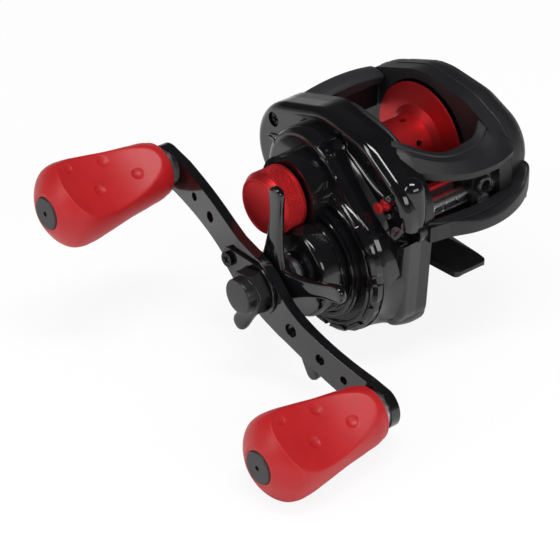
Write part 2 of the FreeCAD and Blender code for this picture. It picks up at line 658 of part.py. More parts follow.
def make_pinion():
    """Sliding pinion: slotted hub for the cross pin, teeth, yoke groove and collar."""
    back = size.clutch_pin_x - 0.6
    face = size.gear_face - 0.4 - size.clutch_travel
    groove = size.yoke_back - 0.25
    collar = groove + size.yoke_thick + 0.5
    phase = size.gear_angle + 180 / size.pinion_teeth
    shape = wheel(Vector(), size.gear_module, int(size.pinion_teeth), phase, face, groove)
    for start, end, radius in [(back, face, size.clutch_pin_reach + 0.3),
                               (groove, collar, size.groove_radius),
                               (collar, collar + 0.8, size.pinion_collar)]:
        shape = shape.fuse(rod(start, end, radius))
    shape = shape.cut(rod(back - 1, collar + 2, size.shaft_radius + size.running))
    slot = size.clutch_pin_radius + 0.12
    wide = size.clutch_pin_reach + 1
    for turn in (0, 90):
        gap = block(Vector(back - 1, -slot, -wide), Vector(back + 1.25, slot, wide))
        gap.rotate(Vector(), Vector(1, 0, 0), turn)
        shape = shape.cut(gap)
    carved("pinion_gear", shape.removeSplitter(), spool_at)


def make_yoke():
    """The clutch yoke rides on two posts and holds the pinion by its groove."""
    back, face = size.yoke_back, size.yoke_back + size.yoke_thick
    turn = size.post_angle
    bar = Part.Face(Part.Wire(Part.__sortEdges__(
        [piece.toShape() for piece in belt([(-size.post_reach, 0, size.yoke_end),
                                            (0, 0, size.yoke_waist),
                                            (size.post_reach, 0, size.yoke_end),
                                            (0, 0, size.yoke_waist)])])))
    bar = bar.extrude(Vector(0, 0, face - back))
    bar.Placement = Placement(Vector(back, 0, 0), Rotation(
        Vector(0, 1, 0), Vector(0, 0, 1), Vector(1, 0, 0), "ZXY"))
    throat = size.groove_radius + 0.1
    bar = bar.cut(rod(back - 1, face + 1, throat))
    bar = bar.cut(block(Vector(back - 1, -throat, 0), Vector(face + 1, throat, size.yoke_waist + 1)))
    for side in (-1, 1):
        at = Vector(0, side * size.post_reach, 0)
        bar = bar.cut(rod(back - 1, face + 1, size.pin_radius + size.running, at))
    bar.rotate(Vector(), Vector(1, 0, 0), turn)
    carved("clutch_yoke", bar, spool_at)
    post_end = size.saddle_face - size.side_wall
    seat = size.web_inner + 0.5
    posts = []
    for at in post_places:
        post = rod(seat, post_end, size.pin_radius, at).fuse(rod(post_end - 0.5, post_end, 1.6, at))
        posts.append(post)
    carved("yoke_posts", Part.makeCompound(posts))
    springs = []
    for at in post_places:
        coil = Part.makeHelix(size.spring_pitch, size.spring_tall, 1.5)
        wire_end = Part.Wire(Part.makeCircle(0.2, Vector(1.5, 0, 0), Vector(0, 1, 0.07)))
        spring = Part.Wire(coil).makePipeShell([wire_end], True, True)
        spring.rotate(Vector(), Vector(0, 1, 0), 90)
        spring.translate(Vector(face + 0.21, at.y, at.z))
        springs.append(spring)
    carved("yoke_springs", Part.makeCompound(springs))


def make_gears():
    """Main gear with its drag recess, ratchet, and the three wheels that turn the worm."""
    face, width = size.gear_face, size.gear_width
    mesh = heading(drive_at, spool_at)
    shape = wheel(Vector(), size.gear_module, int(size.gear_teeth), mesh, face, face + width)
    shape = shape.cut(rod(face + 1.3, face + width + 1, size.drag_recess))
    shape = shape.cut(rod(face - 1, face + width + 1, size.drive_radius))
    carved("main_gear", shape, drive_at)
    ratchet = []
    for tooth in range(12):
        ratchet += [polar(9.2, 30 * tooth), polar(7.6, 30 * tooth + 4)]
    face_wire = Part.Face(Part.makePolygon(ratchet + ratchet[:1]))
    face_wire.translate(Vector(size.wind_face + size.wind_wide + 0.2, 0, 0))
    plate = face_wire.extrude(Vector(0.7, 0, 0)).cut(rod(0, 30, size.drive_radius))
    carved("ratchet", plate, drive_at)
    start, end = size.wind_face, size.wind_face + size.wind_wide
    module = size.wind_module
    first = heading(drive_at, idler_at)
    drive = wheel(Vector(), module, int(size.wind_drive_teeth), first, start, end)
    carved("level_wind_drive_gear", drive.cut(rod(start - 1, end + 1, size.drive_radius)), drive_at)
    idler_phase = first + 180 + 180 / size.idler_teeth
    idler = wheel(Vector(), module, int(size.idler_teeth), idler_phase, start, end)
    idler = idler.cut(rod(start - 1, end + 1, size.pin_radius + size.running))
    carved("idler_gear", idler, idler_at)
    second = heading(idler_at, worm_at)
    lead = (second - idler_phase) % (360 / size.idler_teeth)
    phase = second + 180 + lead * size.idler_teeth / size.worm_gear_teeth + 180 / size.worm_gear_teeth
    small = wheel(Vector(), module, int(size.worm_gear_teeth), phase, start, end)
    carved("worm_gear", small.cut(rod(start - 1, end + 1, size.worm_radius)), worm_at)
    pin = rod(size.web_inner + 0.5, end + 0.5, size.pin_radius)
    carved("idler_pin", pin.fuse(rod(end + 0.1, end + 0.5, 1.8)), idler_at)


# ---- drive shaft, drag and star -------------------------------------------------------

def crank_placed(shape, station):
    """Puts a shape drawn along the crank (X along it, Z outward) at its place on the shaft."""
    along = polar(1, size.crank_angle)
    across = polar(1, size.crank_angle + 90)
    shape.Placement = Placement(Vector(station, drive_at.y, drive_at.z),
                                Rotation(along, across, Vector(1, 0, 0), "ZXY"))
    return shape


def make_shaft():
    arm = size.arm_back
    shaft = rod(size.web_inner + 0.9, arm, size.drive_radius, drive_at)
    tang = Part.makeCylinder(size.drive_radius, size.arm_thick, Vector())
    tang = tang.common(Part.makeBox(12, 2 * size.tang_half, 10, Vector(-6, -size.tang_half, 0)))
    shaft = shaft.fuse(crank_placed(tang, arm))
    shaft = shaft.fuse(rod(arm + size.arm_thick, size.nut_face - 2.2, size.tang_half, drive_at))
    carved("drive_shaft", shaft)
    recess = size.gear_face + 1.3
    thick = size.washer_thick
    bore = size.drive_radius + 0.1
    pads = [tube(recess + 2 * i * thick, recess + (2 * i + 1) * thick, size.drag_radius, bore)
            for i in range(2)]
    carved("drag_washers", Part.makeCompound(pads), drive_at)
    plates = [tube(recess + (2 * i + 1) * thick, recess + (2 * i + 2) * thick,
                   size.drag_radius - 0.4, bore) for i in range(2)]
    plates[1] = plates[1].fuse(tube(recess + 4 * thick, size.sleeve_back, 7.0, bore))
    carved("pressure_plates", Part.makeCompound(plates), drive_at)


def make_star():
    """Star drag wheel: a hub and long arms with rounded tips."""
    body = new_body("star_drag")
    place_on(body, "drive")
    tip = polar(size.star_reach, size.star_angle)
    arm = sketch_on(body, "YZ_Plane", "star_back")
    outline(arm, belt([(0, 0, size.star_root), (tip.y, tip.z, size.star_tip)]))
    first = pad(body, arm, "star_front - star_back")
    spread = body.newObject("PartDesign::PolarPattern", "star_arms")
    spread.Originals = [first]
    spread.Axis = (arm, ["N_Axis"])
    bind(spread, "Occurrences", "star_arms")
    body.Tip = spread
    doc.recompute()
    hub = sketch_on(body, "YZ_Plane", "star_back - 0.6")
    circle(hub, "0", "0", "star_hub")
    pad(body, hub, "star_front - star_back + 1.2")
    nose = sketch_on(body, "YZ_Plane", "star_front")
    circle(nose, "0", "0", "star_hub - 1.4")
    pad(body, nose, "arm_back - star_front - 0.6")
    bore = sketch_on(body, "YZ_Plane", "star_back - 2")
    circle(bore, "0", "0", "drive_radius + running")
    pocket(body, bore, "12", forward=True)


def make_spring_washers():
    """Cupped washers in pairs between the sleeve and the star."""
    cups = []
    gap = (size.star_back - 0.6 - size.boss_face - 0.6) / 4
    for i in range(4):
        wide, narrow = (5.6, 4.4) if i % 2 else (4.4, 5.6)
        start = size.boss_face + 0.4 + i * gap
        cup = Part.makeCone(wide, narrow, gap * 0.9, Vector(start, 0, 0), Vector(1, 0, 0))
        cups.append(cup.cut(rod(start - 1, start + gap + 1, size.drive_radius)))
    carved("spring_washers", Part.makeCompound(cups), drive_at)


# ---- crank ------------------------------------------------------------------------------

def arm_edge(side):
    """One long edge of the swept crank: half width and sway both follow the distance out."""
    points = []
    for step in range(-8, 9):
        along = size.crank_half * step / 8
        out = abs(along) / size.crank_half
        sway = -size.arm_sway * math.sin(math.pi * along / size.crank_half)
        middle = math.exp(-(along / 10.0) ** 2) * (size.arm_centre - size.arm_waist)
        end = (size.arm_end - size.arm_waist) * out ** 3
        points.append(Vector(along, sway + side * (size.arm_waist + middle + end), 0))
    curve = Part.BSplineCurve()
    curve.interpolate(points)
    return curve


def make_crank():
    """Crank plate: swept outline, ends bent towards the reel, lightening holes."""
    upper, lower = arm_edge(1), arm_edge(-1)
    half, end = size.crank_half, size.arm_end
    caps = [Part.Arc(lower.EndPoint, Vector(half + end, 0, 0), upper.EndPoint),
            Part.Arc(upper.StartPoint, Vector(-half - end, 0, 0), lower.StartPoint)]
    plan = flat_face([upper, lower] + caps)
    deep = 20.0
    plan.translate(Vector(0, 0, -size.arm_sweep - 1))
    plan = plan.extrude(Vector(0, 0, size.arm_sweep + size.arm_thick + 2))
    knee, reach, sweep = size.arm_knee, half + end + 1, size.arm_sweep
    under = [(-reach, -sweep), (-half + 6, -sweep), (-knee, 0), (knee, 0), (half - 6, -sweep),
             (reach, -sweep)]
    over = [(x, z + size.arm_thick) for x, z in reversed(under)]
    corners = [Vector(x, -deep, z) for x, z in under + over]
    side = Part.Face(Part.makePolygon(corners + corners[:1])).extrude(Vector(0, 2 * deep, 0))
    arm = plan.common(side)
    for along, across, radius in arm_holes():
        arm = arm.cut(Part.makeCylinder(radius, deep, Vector(along, across, -deep / 2)))
    tang = Part.makeCylinder(size.drive_radius, deep, Vector(0, 0, -deep / 2))
    slot = Part.makeBox(deep, 2 * size.tang_half, deep, Vector(-deep / 2, -size.tang_half, -deep / 2))
    arm = arm.cut(tang.common(slot))
    for along in (-half, half):
        arm = arm.cut(Part.makeCylinder(size.post_radius, deep, Vector(along, 0, -deep / 2)))
    arm = arm.cut(Part.makeCylinder(size.screw_radius, deep, Vector(-size.retainer_reach, 0, -deep / 2)))
    carved("handle_arm", crank_placed(arm, size.arm_back))


def arm_holes():
    """Lightening holes (distance along, sway, radius), smaller towards the knobs."""
    rows = [(14.2, 1.9), (25.2, 1.5), (33.8, 1.15), (-24.0, 1.5), (-32.0, 1.15)]
    return [(along, -size.arm_sway * math.sin(math.pi * along / size.crank_half), radius)
            for along, radius in rows]


def make_nut_and_retainer():
    outer = size.arm_back + size.arm_thick
    plate = flat_face(belt([(0, 0, size.nut_flat + 1.9), (-size.retainer_reach, 0, 3.2)]))
    plate = plate.extrude(Vector(0, 0, size.retainer_thick))
    plate = plate.cut(Part.makeCylinder(size.nut_flat / math.cos(math.pi / 6) + 0.15, 10, Vector(0, 0, -5)))
    plate = plate.cut(Part.makeCylinder(size.screw_radius, 10, Vector(-size.retainer_reach, 0, -5)))
    carved("nut_retainer", crank_placed(plate, outer))
    screw = Part.makeCylinder(size.screw_radius, size.arm_thick + size.retainer_thick,
                              Vector(-size.retainer_reach, 0, -size.arm_thick))
    head = Part.makeCylinder(size.screw_head + 0.2, 1.0,
                             Vector(-size.retainer_reach, 0, size.retainer_thick))
    head = head.cut(cross_recess(Vector(-size.retainer_reach, 0, size.retainer_thick + 0.5)))
    carved("retainer_screw", crank_placed(screw.fuse(head), outer))
    corners = [Vector(math.cos(math.radians(60 * i + 30)), math.sin(math.radians(60 * i + 30)), 0)
               * (size.nut_flat / math.cos(math.pi / 6)) for i in range(6)]
    nut = Part.Face(Part.makePolygon(corners + corners[:1])).extrude(Vector(0, 0, 4.2))
    tall = size.nut_face - outer
    cap = Part.makeCylinder(size.nut_round, tall)
    cap = cap.makeFillet(0.5, [edge for edge in cap.Edges if edge.BoundBox.ZMin > tall - 1e-6])
    nut = nut.fuse(cap).cut(Part.makeCylinder(size.tang_half, tall - 2.2))
    carved("handle_nut", crank_placed(nut, outer))


def cross_recess(at):
    """A cross for a driver, cut down from a point just under the head's face."""
    bars = [Part.makeBox(2 * a, 2 * b, 2, at + Vector(-a, -b, 0)) for a, b in ((1.2, 0.25), (0.25, 1.2))]
    return bars[0].fuse(bars[1])


def grip_section(share, along):
    """One closed section of a paddle grip, flattened and scooped on its two faces."""
    swell = size.grip_root_radius + (size.grip_radius - size.grip_root_radius) * (
        math.sin(math.pi / 2 * min(1.0, share / 0.78)) ** 1.6)
    swell *= 1 - 0.42 * max(0.0, (share - 0.8) / 0.2) ** 2
    scoop = size.grip_scoop * math.exp(-((share - 0.42) / 0.26) ** 2)
    points = []
    for step in range(14):
        turn = 2 * math.pi * step / 14
        press = scoop * abs(math.cos(turn)) ** 2.2
        points.append(Vector(along, swell * (1 - press) * math.cos(turn), swell * math.sin(turn)))
    curve = Part.BSplineCurve()
    curve.interpolate(points, PeriodicFlag=True)
    return Part.Wire(curve.toShape())


def make_grips():
    root, tip = size.grip_root, size.grip_tip
    arm_in = size.arm_back - size.arm_sweep
    arm_out = arm_in + size.arm_thick
    for name, at in grip_at.items():
        stations = [0.0, 0.12, 0.28, 0.45, 0.62, 0.78, 0.9, 1.0]
        wires = [grip_section(s, root + s * (tip - root)) for s in stations]
        grip = Part.makeLoft(wires, True, False)
        grip.rotate(Vector(), Vector(1, 0, 0), size.grip_turn)
        pin_end = tip - 3.0
        grip = grip.cut(rod(root - 1, pin_end + 0.4, size.post_radius + 0.25))
        grip = grip.cut(rod(root - 1, root + size.bush_long, size.bush_radius))
        grip = grip.cut(rod(tip - 1.0, tip + 1, size.grip_cap))
        carved(f"knob_{name}", grip, at)
        carved(f"knob_{name}_bush", tube(root, root + size.bush_long, size.bush_radius,
                                         size.post_radius + size.running), at)
        cap = rod(tip - 1.0, tip + 0.5, size.grip_cap)
        cap = cap.makeFillet(0.35, [e for e in cap.Edges if e.BoundBox.XMin > tip + 0.4])
        carved(f"knob_{name}_cap", cap.cut(rod(tip - 0.3, tip + 1, 0.7)), at)
        post = rod(arm_in, pin_end, size.post_radius).fuse(rod(arm_in - 0.9, arm_in, 3.4))
        post = post.fuse(rod(arm_out, root - 0.3, 5.2))
        carved(f"knob_post_{name}", post, at)


# ---- controls -----------------------------------------------------------------------------

def make_cast_control():
    base, face = "collar_face + 2 * lip_gap", "collar_face + 2 * lip_gap + cast_long"
    turned("cast_control_knob", "spool", [
        (base, "neck_radius + running"), ("neck_face + 1", "neck_radius + running"),
        ("neck_face + 1", "0"), (face, "0"), (face, "cast_land - 0.5"),
        (f"{face} - 0.5", "cast_land"), (f"{face} - 1.6", "cast_land + 0.35"),
        (f"{face} - 2.2", "cast_radius - 0.15"), (f"{face} - 2.8", "cast_radius"),
        (f"{base} + 2.2", "cast_radius"), (f"{base} + 2.0", "cast_radius - 0.3"),
        (f"{base} + 1.6", "cast_radius - 0.3"), (f"{base} + 1.4", "cast_radius + 0.1"),
        (f"{base} + 0.4", "cast_radius + 0.1"), (base, "cast_radius - 0.3")])
    ring("tension_shims", "spool", "neck_face + 0.45", "neck_face + 1", "3.2", "0.8")


def make_brake():
    """Magnetic brake: a dial on the palm side and a ring of magnets that it moves."""
    seat = "palm_face + dial_recess"
    turned("brake_dial", "spool", [
        (f"{seat} + 1.4", "0"), (f"{seat} + 1.4", "dial_pin"), (f"{seat} - 0.05", "dial_pin"),
        (f"{seat} - 0.05", "dial_radius"), ("palm_face - dial_proud + 0.6", "dial_radius"),
        ("palm_face - dial_proud", "dial_radius - 0.6"),
        ("palm_face - dial_proud", "dial_radius - 2.6"),
        ("palm_face - dial_proud + 0.7", "dial_radius - 3.1"),
        ("palm_face - dial_proud + 0.7", "0")])
    ring_face = size.palm_seam + 1.1
    carrier = tube(ring_face - 6.2, ring_face, 7.0, size.palm_boss + size.running)
    carrier = carrier.fuse(tube(ring_face - 1.3, ring_face, 13.2, size.palm_boss + size.running))
    carved("magnet_ring", carrier, spool_at)
    magnets = [rod(ring_face, ring_face + 1.0, 1.5, polar(10.4, 360 * i / size.magnets))
               for i in range(int(size.magnets))]
    carved("brake_magnets", Part.makeCompound(magnets), spool_at)


def make_thumb_bar():
    """The clutch bar across the back of the spool, with a wing at each end and a tongue."""
    body = new_body("thumb_bar")
    start, long = "ring_inner + lip_gap", "web_inner - ring_inner - 2 * lip_gap"
    bar = sketch_on(body, "YZ_Plane", start)
    polygon(bar, [("bar_rear", "bar_top - bar_thick"), ("bar_front - 0.3", "bar_top - bar_thick"),
                  ("bar_front", "bar_top - 0.9"), ("bar_front - 1", "bar_top"),
                  ("(bar_front + bar_rear) / 2", "bar_top + 0.7"),
                  ("bar_rear + 0.6", "bar_top - 0.6")])
    pad(body, bar, long)
    for where in (start, "web_inner - lip_gap - wing_thick"):
        wing = sketch_on(body, "YZ_Plane", where)
        polygon(wing, [("bar_rear + 0.6", "bar_wing"), ("bar_rear + 4.2", "bar_wing"),
                       ("bar_rear + 4.2", "bar_top - bar_thick + 0.2"),
                       ("bar_rear + 0.6", "bar_top - bar_thick + 0.2")])
        pad(body, wing, "wing_thick")
    tongue = sketch_on(body, "YZ_Plane", "web_inner - lip_gap - wing_thick")
    polygon(tongue, [("bar_rear + 0.9", "tongue_low"), ("bar_rear + 0.9 + tongue_wide", "tongue_low"),
                     ("bar_rear + 0.9 + tongue_wide", "tongue_low + tongue_tall"),
                     ("bar_rear + 0.9", "tongue_low + tongue_tall")])
    pad(body, tongue, "cam_back - web_inner + lip_gap + wing_thick")
    cam = new_body("clutch_cam")
    plate = sketch_on(cam, "YZ_Plane", "cam_back")
    polygon(plate, [("bar_rear + 0.4", "tongue_low - 2"), ("bar_rear + 9", "tongue_low - 2.6"),
                    ("bar_rear + 12", "tongue_low - 1"), ("bar_rear + 12", "tongue_low + 1.6"),
                    ("bar_rear + 6", "tongue_low + tongue_tall"),
                    ("bar_rear + 0.4", "tongue_low + tongue_tall")])
    pad(cam, plate, "cam_thick")


# ---- level wind ---------------------------------------------------------------------------

def make_level_wind():
    left, right = "palm_seam + 2.4", "web_inner + 0.5"
    ring("worm_bush_left", "worm", "palm_seam", left, "guard_radius", "worm_radius + running")
    ring("worm_bush_right", "worm", right, "web_inner + web_thick", "guard_radius",
         "worm_radius + running")
    turned("worm_shaft", "worm", [
        ("palm_seam + 0.2", "0"), ("wind_face + wind_wide + 0.1", "0"),
        ("wind_face + wind_wide + 0.1", "worm_radius"), ("palm_seam + 0.2", "worm_radius")])
    guard = tube(value(left), value(right), size.guard_radius, size.guard_bore)
    slot = block(Vector(size.ring_inner + 1, 0, -1.2), Vector(size.web_inner - 1, 4, 1.2))
    carved("worm_guard", guard.cut(slot), worm_at)
    seat = "pillar_seat"
    turned("frame_pillar", "pillar", [
        (f"ring_inner - {seat}", "0"), (f"web_inner + {seat}", "0"),
        (f"web_inner + {seat}", "pillar_radius"), (f"ring_inner - {seat}", "pillar_radius")])
    middle, half, front = size.guide_x, size.guide_half, size.guide_front
    y, z = size.worm_y, size.worm_z
    low = size.sill_low + size.trough_wall + 0.4
    reach = size.guard_radius + 1.2
    shape = prism([(y - reach, low), (front - 0.1, low), (front, size.eye_z + 2.4),
                   (front - 1.2, size.eye_z + 2.4), (front - 1.2, z + reach - 0.6),
                   (size.pillar_y + 2.1, z + reach - 0.4), (size.pillar_y + 1.4, size.pillar_z),
                   (size.pillar_y - 1.6, size.pillar_z), (y - reach, z)],
                  middle - half, middle + half)
    shape = shape.cut(rod(middle - half - 1, middle + half + 1, size.guard_radius + 0.1, worm_at))
    shape = shape.cut(rod(middle - half - 1, middle + half + 1, size.pillar_radius + 0.12,
                          Vector(0, size.pillar_y, size.pillar_z)))
    forward = Vector(0, 1, 0)
    eye_at = Vector(middle, front - 3, size.eye_z)
    shape = shape.cut(Part.makeCylinder(size.eye_bore, 10, eye_at, forward))
    pawl_at = Vector(middle, y + size.worm_radius + 0.25, z)
    shape = shape.cut(Part.makeCylinder(size.pawl_radius, 10, pawl_at, forward))
    carved("line_guide", shape)
    seat_at = Vector(middle, front, size.eye_z)
    eye = Part.makeCylinder(size.eye_radius, size.eye_long, seat_at, forward)
    eye = eye.makeFillet(0.7, [e for e in eye.Edges if e.BoundBox.YMin > front + 1])
    carved("line_guide_eye", eye.cut(Part.makeCylinder(size.eye_bore, 10, eye_at, forward)))
    carved("pawl", Part.makeCylinder(size.pawl_radius, front - pawl_at.y, pawl_at, forward))
    cap = Part.makeCylinder(1.75, 1.3, Vector(middle, front, z - 0.65), forward)
    cap = cap.cut(Part.makeBox(4, 1, 0.5, Vector(middle - 2, front + 0.9, z - 0.9)))
    carved("pawl_cap", cap)


# ---- foot, screws and small fittings ---------------------------------------------------------

def make_foot():
    """The foot: tapered, thin at its tips, with a flat strip and drooping sides below."""
    half, tip, flat = size.foot_half, size.foot_tip_half, size.foot_flat
    thick, droop = size.foot_thick, size.foot_droop
    low, high = size.foot_rear, size.foot_front
    under = [(-half, -droop), (-flat, 0), (flat, 0), (half, -droop)]
    over = [(x, z + thick) for x, z in reversed(under)]
    corners = [Vector(x, low, z) for x, z in under + over]
    arch = Part.Face(Part.makePolygon(corners + corners[:1])).extrude(Vector(0, high - low, 0))
    r = 1.8
    plan = flat_face(belt([(-(tip - r), low + r, r), (tip - r, low + r, r), (half - r, -8, r),
                           (half - r, 8, r), (tip - r, high - r, r), (-(tip - r), high - r, r),
                           (-(half - r), 8, r), (-(half - r), -8, r)]))
    plan.translate(Vector(0, 0, -5))
    plan = plan.extrude(Vector(0, 0, 10))
    thin = size.foot_tip_thick
    side = prism([(low, -5), (high, -5), (high, thin), (size.stem_reach, thick),
                  (-size.stem_reach, thick), (low, thin)], -half, half)
    foot = arch.common(plan).common(side)
    for along in (size.screw_pitch / 2, -size.screw_pitch / 2):
        foot = foot.cut(foot_screw(along, 0.0))
    carved("reel_foot", foot)
    screws = [foot_screw(along, size.foot_screw_bite) for along in
              (size.screw_pitch / 2, -size.screw_pitch / 2)]
    carved("foot_screws", Part.makeCompound(screws))


def foot_screw(along, bite):
    """A countersunk screw up through the foot; its head lies just inside the underside."""
    radius, thick = size.foot_screw_radius, size.foot_thick
    head = Part.makeCone(radius + 1.0, radius, 1.0, Vector(0, along, 0.0))
    shank = Part.makeCylinder(radius, thick + bite, Vector(0, along, 0.0))
    return head.fuse(shank)


def make_screws():
    screws = []
    for name, (y, z) in screw_places.items():
        land = size.front_land if name == "front" else size.screw_land
        at = Vector(0, value(y), value(z))
        shank = rod(size.seam + size.lip_gap, land, size.screw_radius, at)
        head = rod(land, land + 1.2, size.screw_head, at)
        cross = cross_recess(Vector())
        cross.rotate(Vector(), Vector(0, 1, 0), 90)
        cross.translate(Vector(land + 0.6, at.y, at.z))
        screws.append(shank.fuse(head).cut(cross))
    carved("cover_screws", Part.makeCompound(screws))
    y, z = size.palm_screw_y, size.palm_screw_z
    face = size.palm_face + size.dial_recess
    turned_head = rod(face - 0.9, face, size.palm_screw_head)
    turned_head = turned_head.cut(block(Vector(face - 1, -3, -0.4), Vector(face - 0.4, 3, 0.4)))
    carved("palm_screw", turned_head.fuse(rod(face, size.palm_seam, size.palm_screw_radius)),
           Vector(0, y, z))
    at = Vector(0, size.keeper_y, size.keeper_z)
    face = size.shoulder_face
    keeper = rod(face, face + 0.8, size.keeper_radius).fuse(rod(face, face + 3.2, 0.75))
    carved("hook_keeper", keeper.fuse(rod(face + 2.3, face + 3.2, size.keeper_radius)), at)


def make_bearings():
    ring("spool_bearing_left", "spool", "palm_seam - 1.6 - spool_bearing_width", "palm_seam - 1.6",
         "spool_bearing", "shaft_radius + running")
    ring("spool_bearing_right", "spool", "saddle_face - side_wall",
         "saddle_face - side_wall + spool_bearing_width", "spool_bearing", "shaft_radius + running")
    ring("drive_bearing", "drive", "web_inner + web_thick + 0.3 - bearing_width",
         "web_inner + web_thick + 0.3", "bearing_radius", "drive_radius + running")
    ring("one_way_bearing", "drive", "step_face", "boss_face - 0.9",
         "roller_radius", "sleeve_radius + running")
    ring("one_way_sleeve", "drive", "sleeve_back", "boss_face + 0.3", "sleeve_radius", "drive_radius")


frame = make_frame()
drill_frame(frame)
make_hood()
make_palm_cover()
gear_cover = make_gear_cover()
hollow_gear_cover(gear_cover)
make_spool()
make_spool_shaft()
make_pinion()
make_yoke()
make_gears()
make_shaft()
make_star()
make_spring_washers()
make_crank()
make_nut_and_retainer()
make_grips()
make_cast_control()
make_brake()
make_thumb_bar()
make_level_wind()
make_foot()
make_screws()
make_bearings()

# ---- checks and export ------------------------------------------------------------------------

doc.recompute()
for item in doc.Objects:
    if "Invalid" in item.State or "Error" in item.State:
        raise RuntimeError(f"{item.Label}: {item.State}")
os.makedirs("parts", exist_ok=True)
for label, item in nodes.items():
    shape = item.Shape
    if shape.isNull() or not shape.isValid() or shape.Volume <= 0:
        raise RuntimeError(f"{label}: not a valid solid")
    shape.exportStep(f"parts/{label}.step")
print(len(nodes), "nodes")
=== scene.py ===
import json
from math import cos, pi, radians, sin

import bmesh
import bpy
import numpy as np
from mathutils import Matrix, Vector


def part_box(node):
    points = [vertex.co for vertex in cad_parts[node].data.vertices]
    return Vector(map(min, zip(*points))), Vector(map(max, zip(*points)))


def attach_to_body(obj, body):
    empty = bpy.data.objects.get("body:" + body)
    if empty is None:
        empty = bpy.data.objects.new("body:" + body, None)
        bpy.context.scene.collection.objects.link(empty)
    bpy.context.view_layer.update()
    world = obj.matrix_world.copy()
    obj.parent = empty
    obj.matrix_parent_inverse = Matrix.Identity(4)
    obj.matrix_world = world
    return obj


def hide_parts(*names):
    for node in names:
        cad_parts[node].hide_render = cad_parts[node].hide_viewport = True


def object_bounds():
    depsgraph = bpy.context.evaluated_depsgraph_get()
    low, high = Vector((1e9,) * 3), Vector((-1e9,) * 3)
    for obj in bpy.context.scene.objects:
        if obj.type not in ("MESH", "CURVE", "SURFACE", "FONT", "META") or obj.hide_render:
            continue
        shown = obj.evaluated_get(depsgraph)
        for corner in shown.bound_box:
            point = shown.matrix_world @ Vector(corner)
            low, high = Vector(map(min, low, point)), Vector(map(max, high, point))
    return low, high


# Low-profile baitcasting reel. Metres; +X towards the crank, +Y forward, +Z up.

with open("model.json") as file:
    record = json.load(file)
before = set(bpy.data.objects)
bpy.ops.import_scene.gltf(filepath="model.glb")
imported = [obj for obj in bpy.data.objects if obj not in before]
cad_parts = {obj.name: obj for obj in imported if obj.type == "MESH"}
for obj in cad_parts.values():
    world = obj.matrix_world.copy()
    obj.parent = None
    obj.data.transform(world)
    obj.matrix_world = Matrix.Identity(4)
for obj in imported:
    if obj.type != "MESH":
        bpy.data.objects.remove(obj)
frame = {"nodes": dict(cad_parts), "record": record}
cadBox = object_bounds()
nodes = frame["nodes"]
bodies = frame["record"]["behaviour"]["bodies"]
bodyOf = {node: body for body, held in bodies.items() for node in held}
slotOf = {part["node"]: part["material_slot"] for part in frame["record"]["subparts"]}
mm = 0.001


def middleOf(node):
    low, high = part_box(node)
    return (np.array(low) + np.array(high)) / 2


class Wire:
    # one output socket; sums written on it become Math nodes in its tree
    def __init__(self, paint, socket):
        self.paint, self.socket = paint, socket

    def sum(self, operation, first, second):
        return self.paint.node("Math", {"operation": operation}, {0: first, 1: second})

    def __add__(self, other): return self.sum("ADD", self, other)
    def __radd__(self, other): return self.sum("ADD", other, self)
    def __sub__(self, other): return self.sum("SUBTRACT", self, other)
    def __rsub__(self, other): return self.sum("SUBTRACT", other, self)
    def __mul__(self, other): return self.sum("MULTIPLY", self, other)
    def __rmul__(self, other): return self.sum("MULTIPLY", other, self)

    def clip(self, low, high):
        # 0 below low, 1 above high and even between them
        return self.paint.node("MapRange", {"clamp": True},
                               {0: self, 1: low, 2: high, 3: 0.0, 4: 1.0})


class Paint:
    # a material or world tree and the one method that adds a node to it
    def __init__(self, owner):
        owner.use_nodes = True
        self.owner, self.tree = owner, owner.node_tree

    def node(self, kind, settings=None, inputs=None, output=0):
        made = self.tree.nodes.new("ShaderNode" + kind)
        for name, wanted in (settings or {}).items():
            setattr(made, name, wanted)
        for key, wanted in (inputs or {}).items():
            if isinstance(wanted, Wire):
                self.tree.links.new(wanted.socket, made.inputs[key])
            else:
                made.inputs[key].default_value = wanted
        return Wire(self, made.outputs[output])

    def mixed(self, share, first, second):
        first, second = [c if isinstance(c, Wire) else (*c, 1.0) for c in (first, second)]
        return self.node("Mix", {"data_type": "RGBA"}, {0: share, 6: first, 7: second}, output=2)


class Finish(Paint):
    # a Principled material: plain numbers go on the shader's own sockets, feed() links what varies
    def __init__(self, name, **numbers):
        super().__init__(bpy.data.materials.new(name))
        self.shader = self.tree.nodes["Principled BSDF"]
        self.place = self.node("TexCoord", output=3)  # Object coordinates
        for key, number in numbers.items():
            self.shader.inputs[key.replace("_", " ")].default_value = number

    def feed(self, **wires):
        for key, wire in wires.items():
            self.tree.links.new(wire.socket, self.shader.inputs[key.replace("_", " ")])

    def stretched(self, x, y, z):
        return self.node("Mapping", {}, {0: self.place, 3: (x, y, z)})

    def noise(self, scale, detail=3.0, rough=0.55, place=None):
        return self.node("TexNoise", {}, {"Vector": place or self.place, "Scale": scale,
                                          "Detail": detail, "Roughness": rough})

    def bump(self, height, strength, distance):
        return self.node("Bump", {}, {"Strength": strength, "Distance": distance, "Height": height})


finishes = {}


